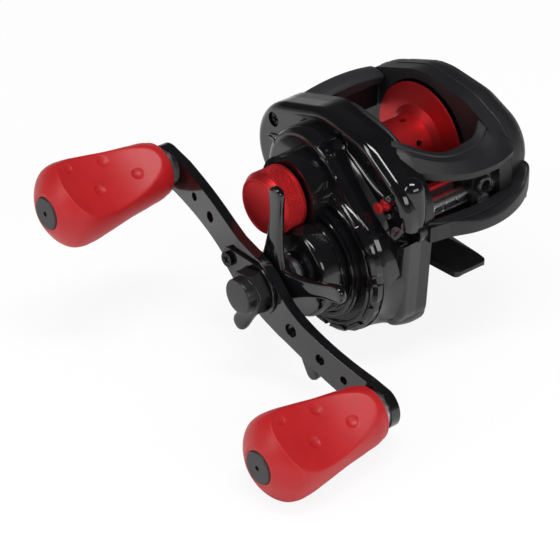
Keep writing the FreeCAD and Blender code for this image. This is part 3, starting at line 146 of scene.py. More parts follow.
def paintedBlack(name, colour, roughness, grain, coat=0.0):
    # the colour drifts with broad noise, fine speckle roughens it and lifts the bump, and thin
    # scuffs lie where a stretched noise passes a threshold
    paint = Finish(name, Specular_IOR_Level=0.5, Coat_Roughness=0.05, Coat_Weight=coat)
    drift = paint.noise(60).clip(0.35, 0.65)
    speck = paint.noise(5200, 2.0)
    scuff = paint.noise(420, 4.0, 0.7, paint.stretched(1, 0.25, 1)).clip(0.66, 0.74)
    lifted = tuple(min(1, c * 1.5 + 0.004) for c in colour)
    paint.feed(Base_Color=paint.mixed(drift * 0.5 + scuff * 0.25, colour, lifted),
               Roughness=roughness + drift * 0.05 + (speck - 0.5) * grain * 0.3 + scuff * 0.05,
               Normal=paint.bump(speck, 0.35 * grain, 0.00004))
    finishes[name] = paint.owner


def framePaint(name, colour, edge):
    # soft black that turns to a deeper, smoother black beyond a line along X
    paint = Finish(name, Specular_IOR_Level=0.5)
    along = paint.node("SeparateXYZ", {}, {0: paint.place})
    tray = along.clip(edge - 0.0001, edge + 0.0001)
    speck = paint.noise(5200, 2.0)
    drift = paint.noise(60).clip(0.35, 0.65)
    lifted = tuple(c * 1.5 + 0.003 for c in colour)
    soft = paint.mixed(drift * 0.5, colour, lifted)
    paint.feed(Base_Color=paint.mixed(tray, soft, tuple(c * 0.45 for c in colour)),
               Roughness=0.46 - tray * 0.22 + (speck - 0.5) * 0.1,
               Normal=paint.bump(speck, 0.16, 0.00003))
    finishes[name] = paint.owner


def anodised(name, colour, roughness):
    # dyed metal, a little deeper in broad patches, with fine turning lines round X
    paint = Finish(name, Metallic=0.8)
    lines = paint.noise(900, 2.0, 0.5, paint.stretched(14, 1, 1))
    patch = paint.noise(90).clip(0.3, 0.7)
    deep = tuple(c * 0.72 for c in colour)
    paint.feed(Base_Color=paint.mixed(patch * 0.6, colour, deep),
               Roughness=roughness + (lines - 0.5) * 0.12,
               Normal=paint.bump(lines, 0.10, 0.00003))
    finishes[name] = paint.owner


def moulded(name, colour, roughness, grain):
    # plastic or rubber: an even colour with slight mottling, flecks and a pebbled grain
    paint = Finish(name, Specular_IOR_Level=0.42)
    pebble = paint.noise(2600, 2.0)
    mottle = paint.noise(140, 4.0).clip(0.3, 0.7)
    paler = tuple(min(1, c * 1.25 + 0.005) for c in colour)
    flecks = pebble.clip(0.56, 0.72) * min(grain, 0.6)
    paint.feed(Base_Color=paint.mixed(mottle * 0.5 + flecks * 0.5, colour, paler),
               Roughness=roughness + (pebble - 0.5) * 0.15,
               Normal=paint.bump(pebble, grain, 0.00005))
    finishes[name] = paint.owner


def bareMetal(name, colour, roughness, line):
    # turned or polished metal: streaks round X vary its roughness and lift a faint bump
    paint = Finish(name, Metallic=1.0)
    streak = paint.noise(700, 3.0, 0.6, paint.stretched(line, 1, 1))
    tint = paint.noise(160).clip(0.3, 0.7)
    darker = tuple(c * 0.8 for c in colour)
    paint.feed(Base_Color=paint.mixed(tint * 0.5, colour, darker),
               Roughness=roughness + (streak - 0.5) * 0.14,
               Normal=paint.bump(streak, 0.08, 0.00002))
    finishes[name] = paint.owner


paintedBlack("charcoal", (0.0075, 0.0075, 0.009), 0.44, 1.0)
framePaint("frame_black", (0.0075, 0.0075, 0.009), 0.0122)
paintedBlack("gloss_black", (0.0035, 0.0035, 0.0042), 0.09, 0.04, coat=0.35)
paintedBlack("black_metal", (0.007, 0.007, 0.008), 0.27, 0.3)
anodised("red_anodised", (0.60, 0.022, 0.026), 0.44)
moulded("knob_red", (0.42, 0.006, 0.009), 0.42, 0.22)
moulded("cap_grey", (0.030, 0.026, 0.028), 0.50, 0.35)
bareMetal("chrome", (0.90, 0.90, 0.91), 0.30, 4)
bareMetal("steel", (0.55, 0.55, 0.57), 0.30, 10)
bareMetal("screw_black", (0.030, 0.030, 0.032), 0.28, 6)
bareMetal("brass", (0.60, 0.40, 0.14), 0.28, 8)
moulded("graphite", (0.015, 0.015, 0.017), 0.48, 0.3)
bareMetal("bearing", (0.50, 0.50, 0.52), 0.18, 12)
moulded("bar_grey", (0.020, 0.020, 0.023), 0.50, 1.6)
moulded("ceramic", (0.012, 0.012, 0.013), 0.10, 0.05)
print("finishes", len(finishes))

for node, part in nodes.items():
    part.data.materials.clear()
    part.data.materials.append(finishes["frame_black" if node == "frame" else slotOf[node]])


def attach(name, mesh, body, finish):
    # a finished mesh as a piece that rides on a body
    piece = bpy.data.objects.new(name, mesh)
    bpy.context.scene.collection.objects.link(piece)
    mesh.materials.clear()
    mesh.materials.append(finishes[finish])
    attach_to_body(piece, body)
    return piece


def place(name, mesh, node, *others):
    # puts a finished mesh in for the named nodes, on the first one's body
    piece = attach(name, mesh, bodyOf[node], slotOf[node])
    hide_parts(node, *others)
    return piece


def smoothed(mesh, sharp):
    # smooth faces, with the edges over the angle kept sharp
    mesh.polygons.foreach_set("use_smooth", np.ones(len(mesh.polygons), dtype=bool))
    mesh.set_sharp_from_angle(angle=radians(sharp))
    return mesh


def tidied(mesh, sharp=35):
    # merges poles and seams, turns faces outwards and keeps edges over the angle sharp
    work = bmesh.new()
    work.from_mesh(mesh)
    bmesh.ops.remove_doubles(work, verts=work.verts, dist=1e-7)
    bmesh.ops.recalc_face_normals(work, faces=work.faces)
    work.to_mesh(mesh)
    work.free()
    return smoothed(mesh, sharp)


def gridMesh(name, points, closedColumns=False, sharp=35):
    # quads between neighbours of a (rows, columns, 3) array, wrapped round where closed
    rows, columns = points.shape[:2]
    index = np.arange(rows * columns).reshape(rows, columns)
    if closedColumns:
        index = np.hstack([index, index[:, :1]])
    quads = np.stack([index[:-1, :-1], index[1:, :-1], index[1:, 1:], index[:-1, 1:]], -1)
    mesh = bpy.data.meshes.new(name)
    mesh.from_pydata(points.reshape(-1, 3).tolist(), [], quads.reshape(-1, 4).tolist())
    return tidied(mesh, sharp)


def turnedPoints(profile, centre, steps):
    # a surface of revolution about X: (x, radius) pairs carried round the centre line
    profile = np.asarray(profile, float)
    turn = np.linspace(0, 2 * pi, steps, endpoint=False)
    x = np.repeat(profile[:, :1], steps, 1)
    y = centre[1] + profile[:, 1:] * np.cos(turn)
    z = centre[2] + profile[:, 1:] * np.sin(turn)
    return np.stack([x, y, z], -1)


easedEdges = {"handle_arm": 0.35, "nut_retainer": 0.2, "handle_nut": 0.25, "reel_foot": 0.3,
              "line_guide": 0.2}  # widths in mm


def easedCopy(node, width):
    # a copy of a solid whose edges are eased, so that they catch the light
    mesh = nodes[node].data.copy()
    work = bmesh.new()
    work.from_mesh(mesh)
    bmesh.ops.remove_doubles(work, verts=work.verts, dist=1e-6)
    bmesh.ops.dissolve_limit(work, angle_limit=radians(1.0), verts=work.verts, edges=work.edges)
    work.to_mesh(mesh)
    work.free()
    piece = place(node + ".eased", smoothed(mesh, 40), node)
    rounded(piece, width, steps=2, angle=32)


def rounded(piece, width, steps=3, angle=28):
    # rounds the edges that turn by more than the angle; the width is in mm
    bevel = piece.modifiers.new("rounded", "BEVEL")
    bevel.width, bevel.segments = width * mm, steps
    bevel.limit_method, bevel.angle_limit = "ANGLE", radians(angle)


for node, width in easedEdges.items():
    easedCopy(node, width)
print("eased", len(easedEdges))


def curveThrough(pairs, at):
    # a smooth curve through (place, value) pairs: a cubic in each span, whose slope at each
    # pair is the one between its neighbours
    xs, ys = np.array(pairs, float).T
    slope = np.gradient(ys, xs)
    i = np.clip(np.searchsorted(xs, at, "right") - 1, 0, len(xs) - 2)
    span = xs[i + 1] - xs[i]
    t = (at - xs[i]) / span
    return ((2 * t**3 - 3 * t**2 + 1) * ys[i] + (t**3 - 2 * t**2 + t) * span * slope[i]
            + (3 * t**2 - 2 * t**3) * ys[i + 1] + (t**3 - t**2) * span * slope[i + 1])


def softMin(a, b, blur):
    # the smaller of two values, rounded where they cross: half of their sum less the root of
    # their difference squared plus the blur squared
    return (a + b - np.sqrt((a - b) ** 2 + blur**2)) / 2


def beltLine(rounds, steps):
    # even points and outward directions round a belt that wraps (y, z, radius) circles; each
    # straight run leaves its circle at the angle whose cosine is the radii's difference over
    # the gap between the two middles
    at = np.array(rounds, float)
    following = np.roll(at, -1, 0)
    gap = following[:, :2] - at[:, :2]
    lean = np.arccos((at[:, 2] - following[:, 2]) / np.hypot(*gap.T))
    leave = np.arctan2(gap[:, 1], gap[:, 0]) - lean
    enter = np.roll(leave, 1)
    turn = enter[:, None] + ((leave - enter) % (2 * pi))[:, None] * np.linspace(0, 1, 90)
    path = at[:, None, :2] + at[:, None, 2:] * np.stack([np.cos(turn), np.sin(turn)], -1)
    path = np.vstack([path.reshape(-1, 2), path[:1, 0]])
    travelled = np.concatenate([[0], np.cumsum(np.hypot(*np.diff(path, axis=0).T))])
    where = np.linspace(0, travelled[-1], steps, endpoint=False)
    points = np.stack([np.interp(where, travelled, path[:, i]) for i in (0, 1)], -1)
    slope = np.roll(points, -1, 0) - np.roll(points, 1, 0)
    return points, np.stack([slope[:, 1], -slope[:, 0]], -1) / np.hypot(*slope.T)[:, None]


def closedGrid(name, points, sharp=35):
    # a tube-like grid whose first and last rows are drawn together to their middles
    first, last = [np.repeat(row.mean(0, keepdims=True), len(row), 0)[None]
                   for row in (points[0], points[-1])]
    return gridMesh(name, np.concatenate([first, points, last]), closedColumns=True, sharp=sharp)


def rodMesh(name, path, radii, steps=20):
    # a round rod along a path in mm; its ends close as half balls
    path, radii = np.array(path, float), np.array(radii, float)
    share = np.linspace(0, 1, len(path))
    fine = np.linspace(0, 1, 60)
    line = np.stack([curveThrough(list(zip(share, path[:, i])), fine) for i in range(3)], -1)
    thick = np.interp(fine, share, radii)
    travelled = np.concatenate([[0], np.cumsum(np.linalg.norm(np.diff(line, axis=0), axis=1))])
    end = np.minimum(travelled, travelled[-1] - travelled)
    thick = thick * np.sqrt(np.clip(1 - (1 - np.clip(end / thick, 0, 1)) ** 2, 0.0004, 1))
    along = np.gradient(line, axis=0)
    along /= np.linalg.norm(along, axis=1, keepdims=True)
    side = np.cross(along, np.where(np.abs(along[:, :1]) > 0.8, [[0, 0, 1.0]], [[1.0, 0, 0]]))
    side /= np.linalg.norm(side, axis=1, keepdims=True)
    other = np.cross(along, side)
    turn = np.linspace(0, 2 * pi, steps, endpoint=False)[None, :, None]
    ring = side[:, None] * np.cos(turn) + other[:, None] * np.sin(turn)
    return closedGrid(name, (line[:, None] + ring * thick[:, None, None]) * mm)


def swept(name, stations, corners, sharp=35):
    # closed sections across X: each corner's y and z follow a curve through its own pairs
    loop = [np.stack([stations, curveThrough(y, stations), curveThrough(z, stations)], -1)
            for y, z in corners]
    return closedGrid(name, np.stack(loop, 1) * mm, sharp)


def addRod(name, path, thick, finish, body="housing", steps=20):
    # a round rod of one thickness, or of one for each point of its path
    thick = thick if isinstance(thick, list) else [thick] * len(path)
    attach(name, rodMesh(name, path, thick, steps), body, finish)


def addRing(name, profile, centre, steps, sharp):
    # a closed profile of (x, radius) in mm, turned about X
    points = turnedPoints(np.array(profile + profile[:1]) * mm, centre, steps)
    attach(name, gridMesh(name, points, closedColumns=True, sharp=sharp), "housing", "gloss_black")


def eased(share):
    # 0 to 1 with level ends: 3 s^2 - 2 s^3
    share = np.clip(share, 0, 1)
    return share * share * (3 - 2 * share)


def roundedSquare(steps, power):
    # a circle squared off: cos and sin keep their signs and are raised to a power below 1
    turn = np.linspace(0, 2 * pi, steps, endpoint=False)
    return [np.sign(value) * np.abs(value) ** power for value in (np.cos(turn), np.sin(turn))]


grip = {"girth": [(0, 5.6), (0.02, 6.8), (0.07, 7.7), (0.2, 8.5), (0.4, 9.4), (0.6, 10.6),
                  (0.76, 11.4), (0.83, 11.4), (0.89, 10.7), (0.95, 8.5), (0.985, 6.4), (1.0, 5.4)],
        "facing": 58.0, "faceReach": 5.3, "faceBend": 2.6, "faceMiddle": 0.46, "faceSpan": 0.36,
        "crease": 0.25, "dimples": [(0.29, -1.5), (0.63, -2.0), (0.47, 5.6), (0.78, 6.6)],
        "dimpleWide": 1.6, "dimpleDeep": 0.55,
        "mouth": [(1.5, 3.2), (0.05, 3.2)], "capSeat": [(0.0, 4.55), (-0.1, 4.5), (-1.0, 4.5)]}


def gripMesh(name, centre, root, tip):
    # a swelling body of revolution cut by two dished faces: each is a plane whose distance
    # from the axis follows a parabola along the grip, with four round dimples in it
    steps = 256
    along, around = np.meshgrid(np.linspace(0, 1, 170),
                                np.linspace(0, 2 * pi, steps, endpoint=False), indexing="ij")
    radius = curveThrough(grip["girth"], along)
    fromMiddle = (along - grip["faceMiddle"]) / grip["faceSpan"]
    dish = grip["faceReach"] + grip["faceBend"] * fromMiddle ** 2
    for facing in (grip["facing"], grip["facing"] + 180):
        turn = around - radians(facing)
        lean = np.cos(turn)
        cut = np.where(lean > 0.05, dish / np.maximum(lean, 0.05), 60.0)
        radius = softMin(radius, cut, grip["crease"])
        for share, side in grip["dimples"]:
            gap = np.hypot((along - share) * (tip - root) / mm, radius * np.sin(turn) - side)
            well = np.clip(1 - (gap / grip["dimpleWide"]) ** 2, 0, 1) ** 0.6
            radius = radius - np.where(lean > 0.3, grip["dimpleDeep"] * well, 0)
    radius = radius * mm
    points = np.stack([root + along * (tip - root), centre[1] + radius * np.cos(around),
                       centre[2] + radius * np.sin(around)], -1)
    mouth = turnedPoints([(root + x * mm, r * mm) for x, r in grip["mouth"]], centre, steps)
    seat = turnedPoints([(tip + x * mm, r * mm) for x, r in grip["capSeat"]], centre, steps)
    return gridMesh(name, np.concatenate([mouth, points, seat]), closedColumns=True, sharp=50)


for side in ("front", "rear"):
    node = "knob_" + side
    low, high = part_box(node)
    centre = middleOf(node + "_cap")
    place("grip." + side, gripMesh("grip." + side, centre, low[0], high[0]), node)
print("grips")


tension = {"lines": 84, "knurlDeep": 0.24, "knurlFrom": 1.2, "knurlTo": 6.3, "knurlLow": 0.12,
           "slant": 4.6, "fade": 0.4, "steps": 672, "bore": 7.1,
           "rim": [(0, 0.5), (0.25, 0.08), (0.5, 0), (0.8, 0), (0.95, 0.3)],
           "shoulder": [(1.75, 0.15), (1.5, 0.25)],
           "face": [(0.55, 7.95), (0.2, 7.75), (0, 7.5), (0, 7.1), (0.12, 6.98), (0.12, 6.86),
                    (0, 6.74), (0, 6.0), (0.1, 3.0), (0.12, 0.0)]}


def tensionKnob():
    # a turned profile; in the knurled band the radius is cut where the sine of either of two
    # phases, which slant against each other along X, is near zero
    low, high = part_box("cast_control_knob")
    face, base = high[0] / mm, low[0] / mm
    outer = (high[1] - low[1]) / 2 / mm
    knurlStart, knurlEnd = base + tension["knurlFrom"], base + tension["knurlTo"]
    profile = [(base, tension["bore"])]
    profile += [(base + x, outer - below) for x, below in tension["rim"]]
    profile += [(x, outer - tension["knurlLow"]) for x in np.linspace(knurlStart, knurlEnd, 40)]
    profile += [(face - x, outer - below) for x, below in tension["shoulder"]]
    profile += [(face - x, radius) for x, radius in tension["face"]]
    profile = np.array(profile)
    middle, steps = middleOf("cast_control_knob"), tension["steps"]
    points = turnedPoints(profile * mm, middle, steps)
    x, turn = np.meshgrid(profile[:, 0], np.linspace(0, 2 * pi, steps, endpoint=False),
                          indexing="ij")
    band = (x >= knurlStart - 0.01) & (x <= knurlEnd + 0.01)
    edge = np.clip(np.minimum(x - knurlStart, knurlEnd - x) / tension["fade"], 0, 1)
    along, around = tension["slant"] * x, tension["lines"] * turn / 2
    cut = np.minimum(np.abs(np.sin(around + along)), np.abs(np.sin(around - along)))
    shrink = np.where(band, tension["knurlDeep"] * (1 - np.clip(cut * 1.6, 0, 1)) * edge, 0)
    scale = (1 - shrink / np.maximum(profile[:, 1:], 1))[..., None]
    points[..., 1:] = middle[1:] + (points[..., 1:] - middle[1:]) * scale
    mesh = gridMesh("tension", np.concatenate([points, points[-1:]]), closedColumns=True, sharp=28)
    place("tensionKnob", mesh, "cast_control_knob")


tensionKnob()
print("tension knob")


star = {"arms": 5, "firstArm": 18.0, "reach": 28.0, "root": 5.0, "rise": 1.25, "squareness": 0.55,
        "wide": [(0, 4.6), (0.15, 3.5), (0.4, 2.45), (0.65, 2.15), (0.88, 2.45), (1.0, 2.3)],
        "thick": [(0, 1.35), (0.4, 1.15), (0.75, 1.1), (1.0, 1.15)],
        "bend": [(0, 1.1), (0.3, 0.6), (0.6, 0.0), (0.85, 0.0), (1.0, 0.1)],
        "hubBack": [(-0.6, 3.06), (-0.6, 5.6), (-0.2, 6.2), (0.6, 6.6), (2.2, 6.6), (3.0, 6.1)],
        "hubNose": [(-0.4, 5.2), (0.0, 4.9), (0.0, 3.06)]}


def starArm(index, centre, back):
    # an arm is a rounded square carried outwards; its width, thickness and distance along X
    # follow three curves, and its end closes in a half circle
    u = np.linspace(0, 1, 64)
    along = star["root"] + (star["reach"] - star["root"]) * u
    left = np.clip((star["reach"] - along) / star["wide"][-1][1], 0, 1)
    closing = np.sqrt(np.clip(1 - (1 - left) ** 2, 0, 1))
    wide = curveThrough(star["wide"], u) * closing
    thick = curveThrough(star["thick"], u) * (0.25 + 0.75 * closing ** 0.5)
    rise = curveThrough(star["bend"], u) + star["rise"]
    across, deep = roundedSquare(40, star["squareness"])
    side = wide[:, None] * across
    x = back + rise[:, None] + thick[:, None] * deep
    turn = radians(star["firstArm"] + 360 / star["arms"] * index)
    y = centre[1] / mm + along[:, None] * cos(turn) - side * sin(turn)
    z = centre[2] / mm + along[:, None] * sin(turn) + side * cos(turn)
    points = np.stack([x, y, z], -1) * mm
    return gridMesh(f"starArm{index}", points, closedColumns=True, sharp=42)


def starWheel():
    # five arms round a turned hub, as one mesh
    low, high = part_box("star_drag")
    centre = middleOf("drive_shaft")
    back, nose = low[0] / mm + 0.6, high[0] / mm
    work = bmesh.new()
    for index in range(star["arms"]):
        work.from_mesh(starArm(index, centre, back))
    hub = [(back + x, radius) for x, radius in star["hubBack"]]
    hub += [(nose + x, radius) for x, radius in star["hubNose"]]
    work.from_mesh(gridMesh("starHub", turnedPoints(np.array(hub + hub[:1]) * mm, centre, 96),
                            closedColumns=True))
    mesh = bpy.data.meshes.new("star")
    work.to_mesh(mesh)
    work.free()
    mesh.set_sharp_from_angle(angle=radians(42))
    place("starWheel", mesh, "star_drag")


starWheel()
print("star")


spoolAt, driveAt, wormAt = [middleOf(node) for node in ("spool_shaft", "drive_shaft", "worm_shaft")]
drive = tuple(driveAt[1:] / mm)

# belts round circles of (y, z, radius) in mm, as the source draws them
outlines = {
    "side": [(-17.5, 21.0, 14.5), (*drive, 21.5), (21.5, -7.0, 5.5), (16.2, 20.5, 12.4),
             (6.0, 21.5, 17.0), (-3.0, 20.5, 19.4)],
    "saddle": [(-5.0, 20.0, 15.5), (*drive, 20.9)],
    "palm": [(-15.5, 20.5, 15.0), (-3.0, 20.5, 19.4), (13.5, 23.5, 13.0), (7.0, 23.5, 15.5),
             (-3.0, 20.5, 19.4)],
}


def reachFrom(centre, rounds, angles):
    # how far a belt lies from a point, at each angle about it
    points, outward = beltLine(rounds, 1400)
    gap = points - centre
    turn = np.arctan2(gap[:, 1], gap[:, 0])
    order = np.argsort(turn)
    return np.interp(angles, turn[order], np.hypot(*gap.T)[order], period=2 * pi)


# palm side: fine beads as (name, x, how far inside the outline)
palmLines = {"beads": [("palmBead", -17.0, 0.08), ("palmCrease", -21.6, 0.72)], "thick": 0.26}

# each row of the dial's profile is x from its face and a radius, or how far below its edge
dial = {"depth": 3.6, "bore": 2.0, "steps": 320, "notches": 20, "notchDeep": 0.30, "ticks": 9,
        "sweep": 270, "tickFrom": 2.2, "tickTo": 1.2, "thinTick": 0.16, "tickGrows": 0.03,
        "rim": [(3.6, 0.2), (1.4, 0.1), (0.7, 0), (0.15, 0.35), (0, 0.9), (0, 2.4), (0.3, 2.8),
                (0.75, 3.1)],
        "middle": [(0.75, 2.0), (0.55, 1.6), (0.55, 0.0)]}


def palmPieces():
    # beads where the palm cover meets the frame, and a dial with notched edge and plain ticks:
    # the notches are the raised half of a cosine round it, taken off the radius near its edge
    points, outward = beltLine(outlines["palm"], 480)
    for name, x, inset in palmLines["beads"]:
        line = (points - outward * inset)[::4]
        path = [(x, y, z) for y, z in np.vstack([line, line[:1]])]
        addRod(name, path, palmLines["thick"], "charcoal", steps=10)
    low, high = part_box("brake_dial")
    face, edge = low[0] / mm, (high[1] - low[1]) / 2 / mm
    profile = [(face + dial["depth"], dial["bore"])]
    profile += [(face + x, edge - below) for x, below in dial["rim"]]
    profile += [(face + x, radius) for x, radius in dial["middle"]]
    profile = np.array(profile)
    grid = turnedPoints(profile * mm, spoolAt, dial["steps"])
    turn = np.linspace(0, 2 * pi, dial["steps"], endpoint=False)
    notch = dial["notchDeep"] * np.clip(np.cos(turn * dial["notches"]), 0, 1) ** 0.7
    wave = np.where(profile[:, 1:] > edge - 1.2, notch, 0) * (profile[:, :1] < face + 3.0)
    scale = (1 - wave / np.maximum(profile[:, 1:], 1))[..., None]
    grid[..., 1:] = spoolAt[1:] + (grid[..., 1:] - spoolAt[1:]) * scale
    place("brakeDial", closedGrid("brakeDial", grid, 30), "brake_dial")
    y, z = spoolAt[1:] / mm
    for index in range(dial["ticks"]):
        turn = radians(-dial["sweep"] / 2 + dial["sweep"] / (dial["ticks"] - 1) * index)
        start, end = [(face - 0.02, y + r * cos(turn), z + r * sin(turn))
                      for r in (edge - dial["tickFrom"], edge - dial["tickTo"])]
        addRod(f"dialTick{index}", [start, end, end], dial["thinTick"] + dial["tickGrows"] * index,
               "ceramic", "dial", 10)


flank = {"from": -118, "to": 24, "fade": 26, "start": 16.4, "end": 27.0, "slopeFrom": 17.5,
         "slopeLength": 8.5, "sunk": 3.2, "proud": 0.04}


def flankPiece():
    # below and in front, the case runs straight from its outline to the drum's edge:
    # radius = outline + (drum - outline) * s, s rising smoothly along X; elsewhere it sinks inside
    turn = np.linspace(-pi, pi, 480, endpoint=False)
    outer = reachFrom(drive, outlines["side"], turn)
    inner = reachFrom(drive, outlines["saddle"], turn)
    shown = eased(np.minimum(turn - radians(flank["from"]), radians(flank["to"]) - turn)
                  / radians(flank["fade"]))
    rows = []
    for x in np.linspace(flank["start"], flank["end"], 36):
        slope = eased((x - flank["slopeFrom"]) / flank["slopeLength"])
        radius = outer + (inner - outer) * slope - flank["sunk"] * (1 - shown) + flank["proud"]
        rows.append(np.stack([0 * turn + x, drive[0] + radius * np.cos(turn),
                              drive[1] + radius * np.sin(turn)], -1))
    attach("caseFlank", closedGrid("caseFlank", np.array(rows) * mm), "housing", "gloss_black")


beads = {"rim": [(12.9, 17.0, 33.6), (12.9, 14.0, 35.8), (12.9, 10.0, 37.5), (12.9, 4.0, 38.8),
                 (12.9, -3.0, 39.3), (12.9, -10.0, 38.0)],
         "rimThick": [0.5, 0.8, 0.85, 0.8, 0.7, 0.4], "saddleX": 27.55, "saddleThick": 0.45,
         "saddleInset": 1.15, "saddleFrom": -8, "saddleTo": 150}


def beadPieces():
    # a soft edge over the rim beside the spool, and a fine one that follows the saddle's
    # outline from the front, over the top and down behind
    addRod("rimBead", beads["rim"], beads["rimThick"], "charcoal")
    points, outward = beltLine(outlines["saddle"], 240)
    y, z, radius = outlines["saddle"][0]
    turn = np.degrees(np.arctan2(points[:, 1] - z, points[:, 0] - y))
    keep = np.flatnonzero((turn > beads["saddleFrom"]) & (turn < beads["saddleTo"]))
    line = points[keep][::6] - outward[keep][::6] * beads["saddleInset"]
    addRod("saddleBead", [(beads["saddleX"], y, z) for y, z in line], beads["saddleThick"],
           "gloss_black")


drumRings = {
    "drumRingOuter": [(29.0, 17.4), (29.9, 17.4), (30.1, 17.6), (30.1, 18.3), (29.9, 18.5),
                      (29.0, 18.5)],
    "drumRingInner": [(31.0, 13.9), (32.2, 13.9), (32.4, 14.1), (32.4, 14.9), (32.2, 15.1),
                      (31.0, 15.1)],
    "bossCollar": [(31.5, 12.4), (34.2, 12.4), (34.2, 12.95), (34.0, 13.15), (31.5, 13.15)]}
drumLands = {"count": 8, "first": -128, "pitch": 23, "wide": 18.5, "inner": 18.6, "outer": 20.72,
             "middle": 20, "back": 27.2, "front": 29.85}


def drumPieces():
    # rings turned on the drum's face, and lands round its edge with dark gaps between them;
    # a land is one section carried round an arc, and it narrows at both ends
    for name, profile in drumRings.items():
        addRing(name, profile, driveAt, 180, 25)
    inner, outer, middle = [drumLands[key] for key in ("inner", "outer", "middle")]
    back, front = drumLands["back"], drumLands["front"]
    section = [(back, inner), (front - 0.25, inner), (front, inner + 0.25), (front, outer - 1.0),
               (front - 0.95, outer), (back, outer)]
    narrow = np.sqrt(np.clip(1 - (np.abs(np.linspace(-1, 1, 14)) ** 5), 0.02, 1))
    for index in range(drumLands["count"]):
        start = radians(drumLands["first"] + drumLands["pitch"] * index)
        turn = np.linspace(start, start + radians(drumLands["wide"]), 14)
        x, radius = np.array(section).T
        reach = (radius - middle) * narrow[:, None] + middle
        points = np.stack([x + 0 * reach, drive[0] + reach * np.cos(turn)[:, None],
                           drive[1] + reach * np.sin(turn)[:, None]], -1)
        mesh = closedGrid(f"drumLand{index}", points * mm, sharp=30)
        attach(f"drumLand{index}", mesh, "housing", "gloss_black")


# ribs as a path and a thickness; screw rims as (y, z, x, the screw well's radius)
ribs = {
    "ribUpper": ([(21.6, 4.2, 33.3), (22.1, 10.5, 30.2), (22.2, 16.5, 27.0), (21.8, 20.2, 25.4)],
                 0.42),
    "ribLower": ([(21.8, 2.9, 31.2), (22.2, 8.0, 27.5), (22.2, 13.5, 24.2), (21.6, 18.6, 22.2)],
                 0.38),
    "keeperHorn": ([(21.0, 22.2, 26.2), (22.6, 22.6, 26.8), (23.9, 22.9, 26.6)], 1.15),
    "keeperFoot": ([(20.6, 22.5, 21.4), (22.4, 22.4, 21.2), (23.1, 22.2, 21.0)], 0.95),
    "caseToe": ([(10.2, 22.6, -10.8), (16.5, 23.5, -10.2), (22.4, 22.0, -9.4)], 2.9),
    "cornerRound": ([(16.4, 23.4, 31.0), (16.3, 24.6, 26.0), (16.3, 25.2, 21.0),
                     (16.3, 24.6, 15.0)], 3.6),
}
screwRims = {"rear": (-24.4, 29.0, 21.3, 2.35), "top": (2.6, 34.2, 21.75, 2.5),
             "front": (25.9, 16.3, 16.9, 2.9)}

# the keeper's profile: x back from its outer end and a share of its radius
keeper = {"neck": 0.7,
          "bobbin": [(3.6, 0.7), (3.5, 0.9), (3.3, 1), (2.7, 1), (2.5, 0.85), (2.2, 0.6),
                     (1.5, 0.52), (1.1, 0.6), (0.95, 0.8), (0.8, 0.92), (0.25, 0.92), (0, 0.75),
                     (0, 0)]}


def ribPieces():
    # ribs, the keeper's bracket and bobbin, the toe and the rounded corner, and screw rims
    for name, (path, thick) in ribs.items():
        addRod(name, path, thick, "gloss_black")
    low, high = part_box("hook_keeper")
    start, end, wide = low[0] / mm, high[0] / mm, (high[2] - low[2]) / 2 / mm
    profile = [(start, 0), (start, wide * keeper["neck"])]
    profile += [(end - x, wide * share) for x, share in keeper["bobbin"]]
    mesh = gridMesh("keeper", turnedPoints(np.array(profile) * mm, middleOf("hook_keeper"), 48),
                    closedColumns=True, sharp=30)
    place("keeperBobbin", mesh, "hook_keeper")
    for name, (y, z, x, r) in screwRims.items():
        profile = [(x - 0.9, r - 0.15), (x + 0.15, r - 0.15), (x + 0.35, r + 0.05),
                   (x + 0.35, r + 0.35), (x + 0.1, r + 0.6), (x - 0.9, r + 0.6)]
        addRing("screwRim." + name, profile, np.array([0, y, z]) * mm, 64, 30)


# the lip's section along X, from the crank side to the palm side, as (x, place) pairs
lip = {"front": [(17.4, 26.6), (14.2, 28.5), (12.0, 29.3), (9.8, 30.2), (6.8, 31.6), (2.6, 33.3),
                 (-2.3, 34.0), (-7.8, 33.7), (-13.0, 32.6), (-18.9, 30.2), (-22.0, 28.2),
                 (-24.2, 25.6)],
       "inner": [(17.4, 22.6), (14.2, 26.4), (11.6, 27.65), (7.0, 27.8), (-12, 28.2), (-17, 26.2),
                 (-20, 22.0), (-24.2, 20.0)],
       "lower": [(17.4, 13.2), (14.2, 12.9), (8, 13.2), (-16, 13.4), (-20, 13.8), (-24.2, 16.0)],
       "upper": [(17.4, 20.2), (14.2, 19.0), (8, 18.0), (-14, 18.1), (-18, 19.4), (-21, 22.4),
                 (-24.2, 22.4)],
       "start": -24.2, "end": 17.4, "closing": 2.2, "squareness": 0.34}


def lipPiece():
    # the front lip bows forward under the line guide and climbs into the palm side: a rounded
    # square carried along X between four curves, drawn in as a quarter circle at its ends
    stations = np.linspace(lip["start"], lip["end"], 120)
    front, inner, lower, upper = [curveThrough(lip[side][::-1], stations)[:, None]
                                  for side in ("front", "inner", "lower", "upper")]
    across, deep = roundedSquare(40, lip["squareness"])
    fromEnd = np.minimum(stations - lip["start"], lip["end"] - stations)
    end = np.clip(fromEnd / lip["closing"], 0, 1)
    closing = np.sqrt(np.clip(1 - (1 - end) ** 2, 0.02, 1))[:, None]
    y = (front + inner) / 2 + (front - inner) / 2 * across * closing
    z = (lower + upper) / 2 + (upper - lower) / 2 * deep * closing
    points = np.stack([stations[:, None] + 0 * y, y, z], -1)
    attach("frontLip", closedGrid("frontLip", points * mm, 40), "housing", "charcoal")


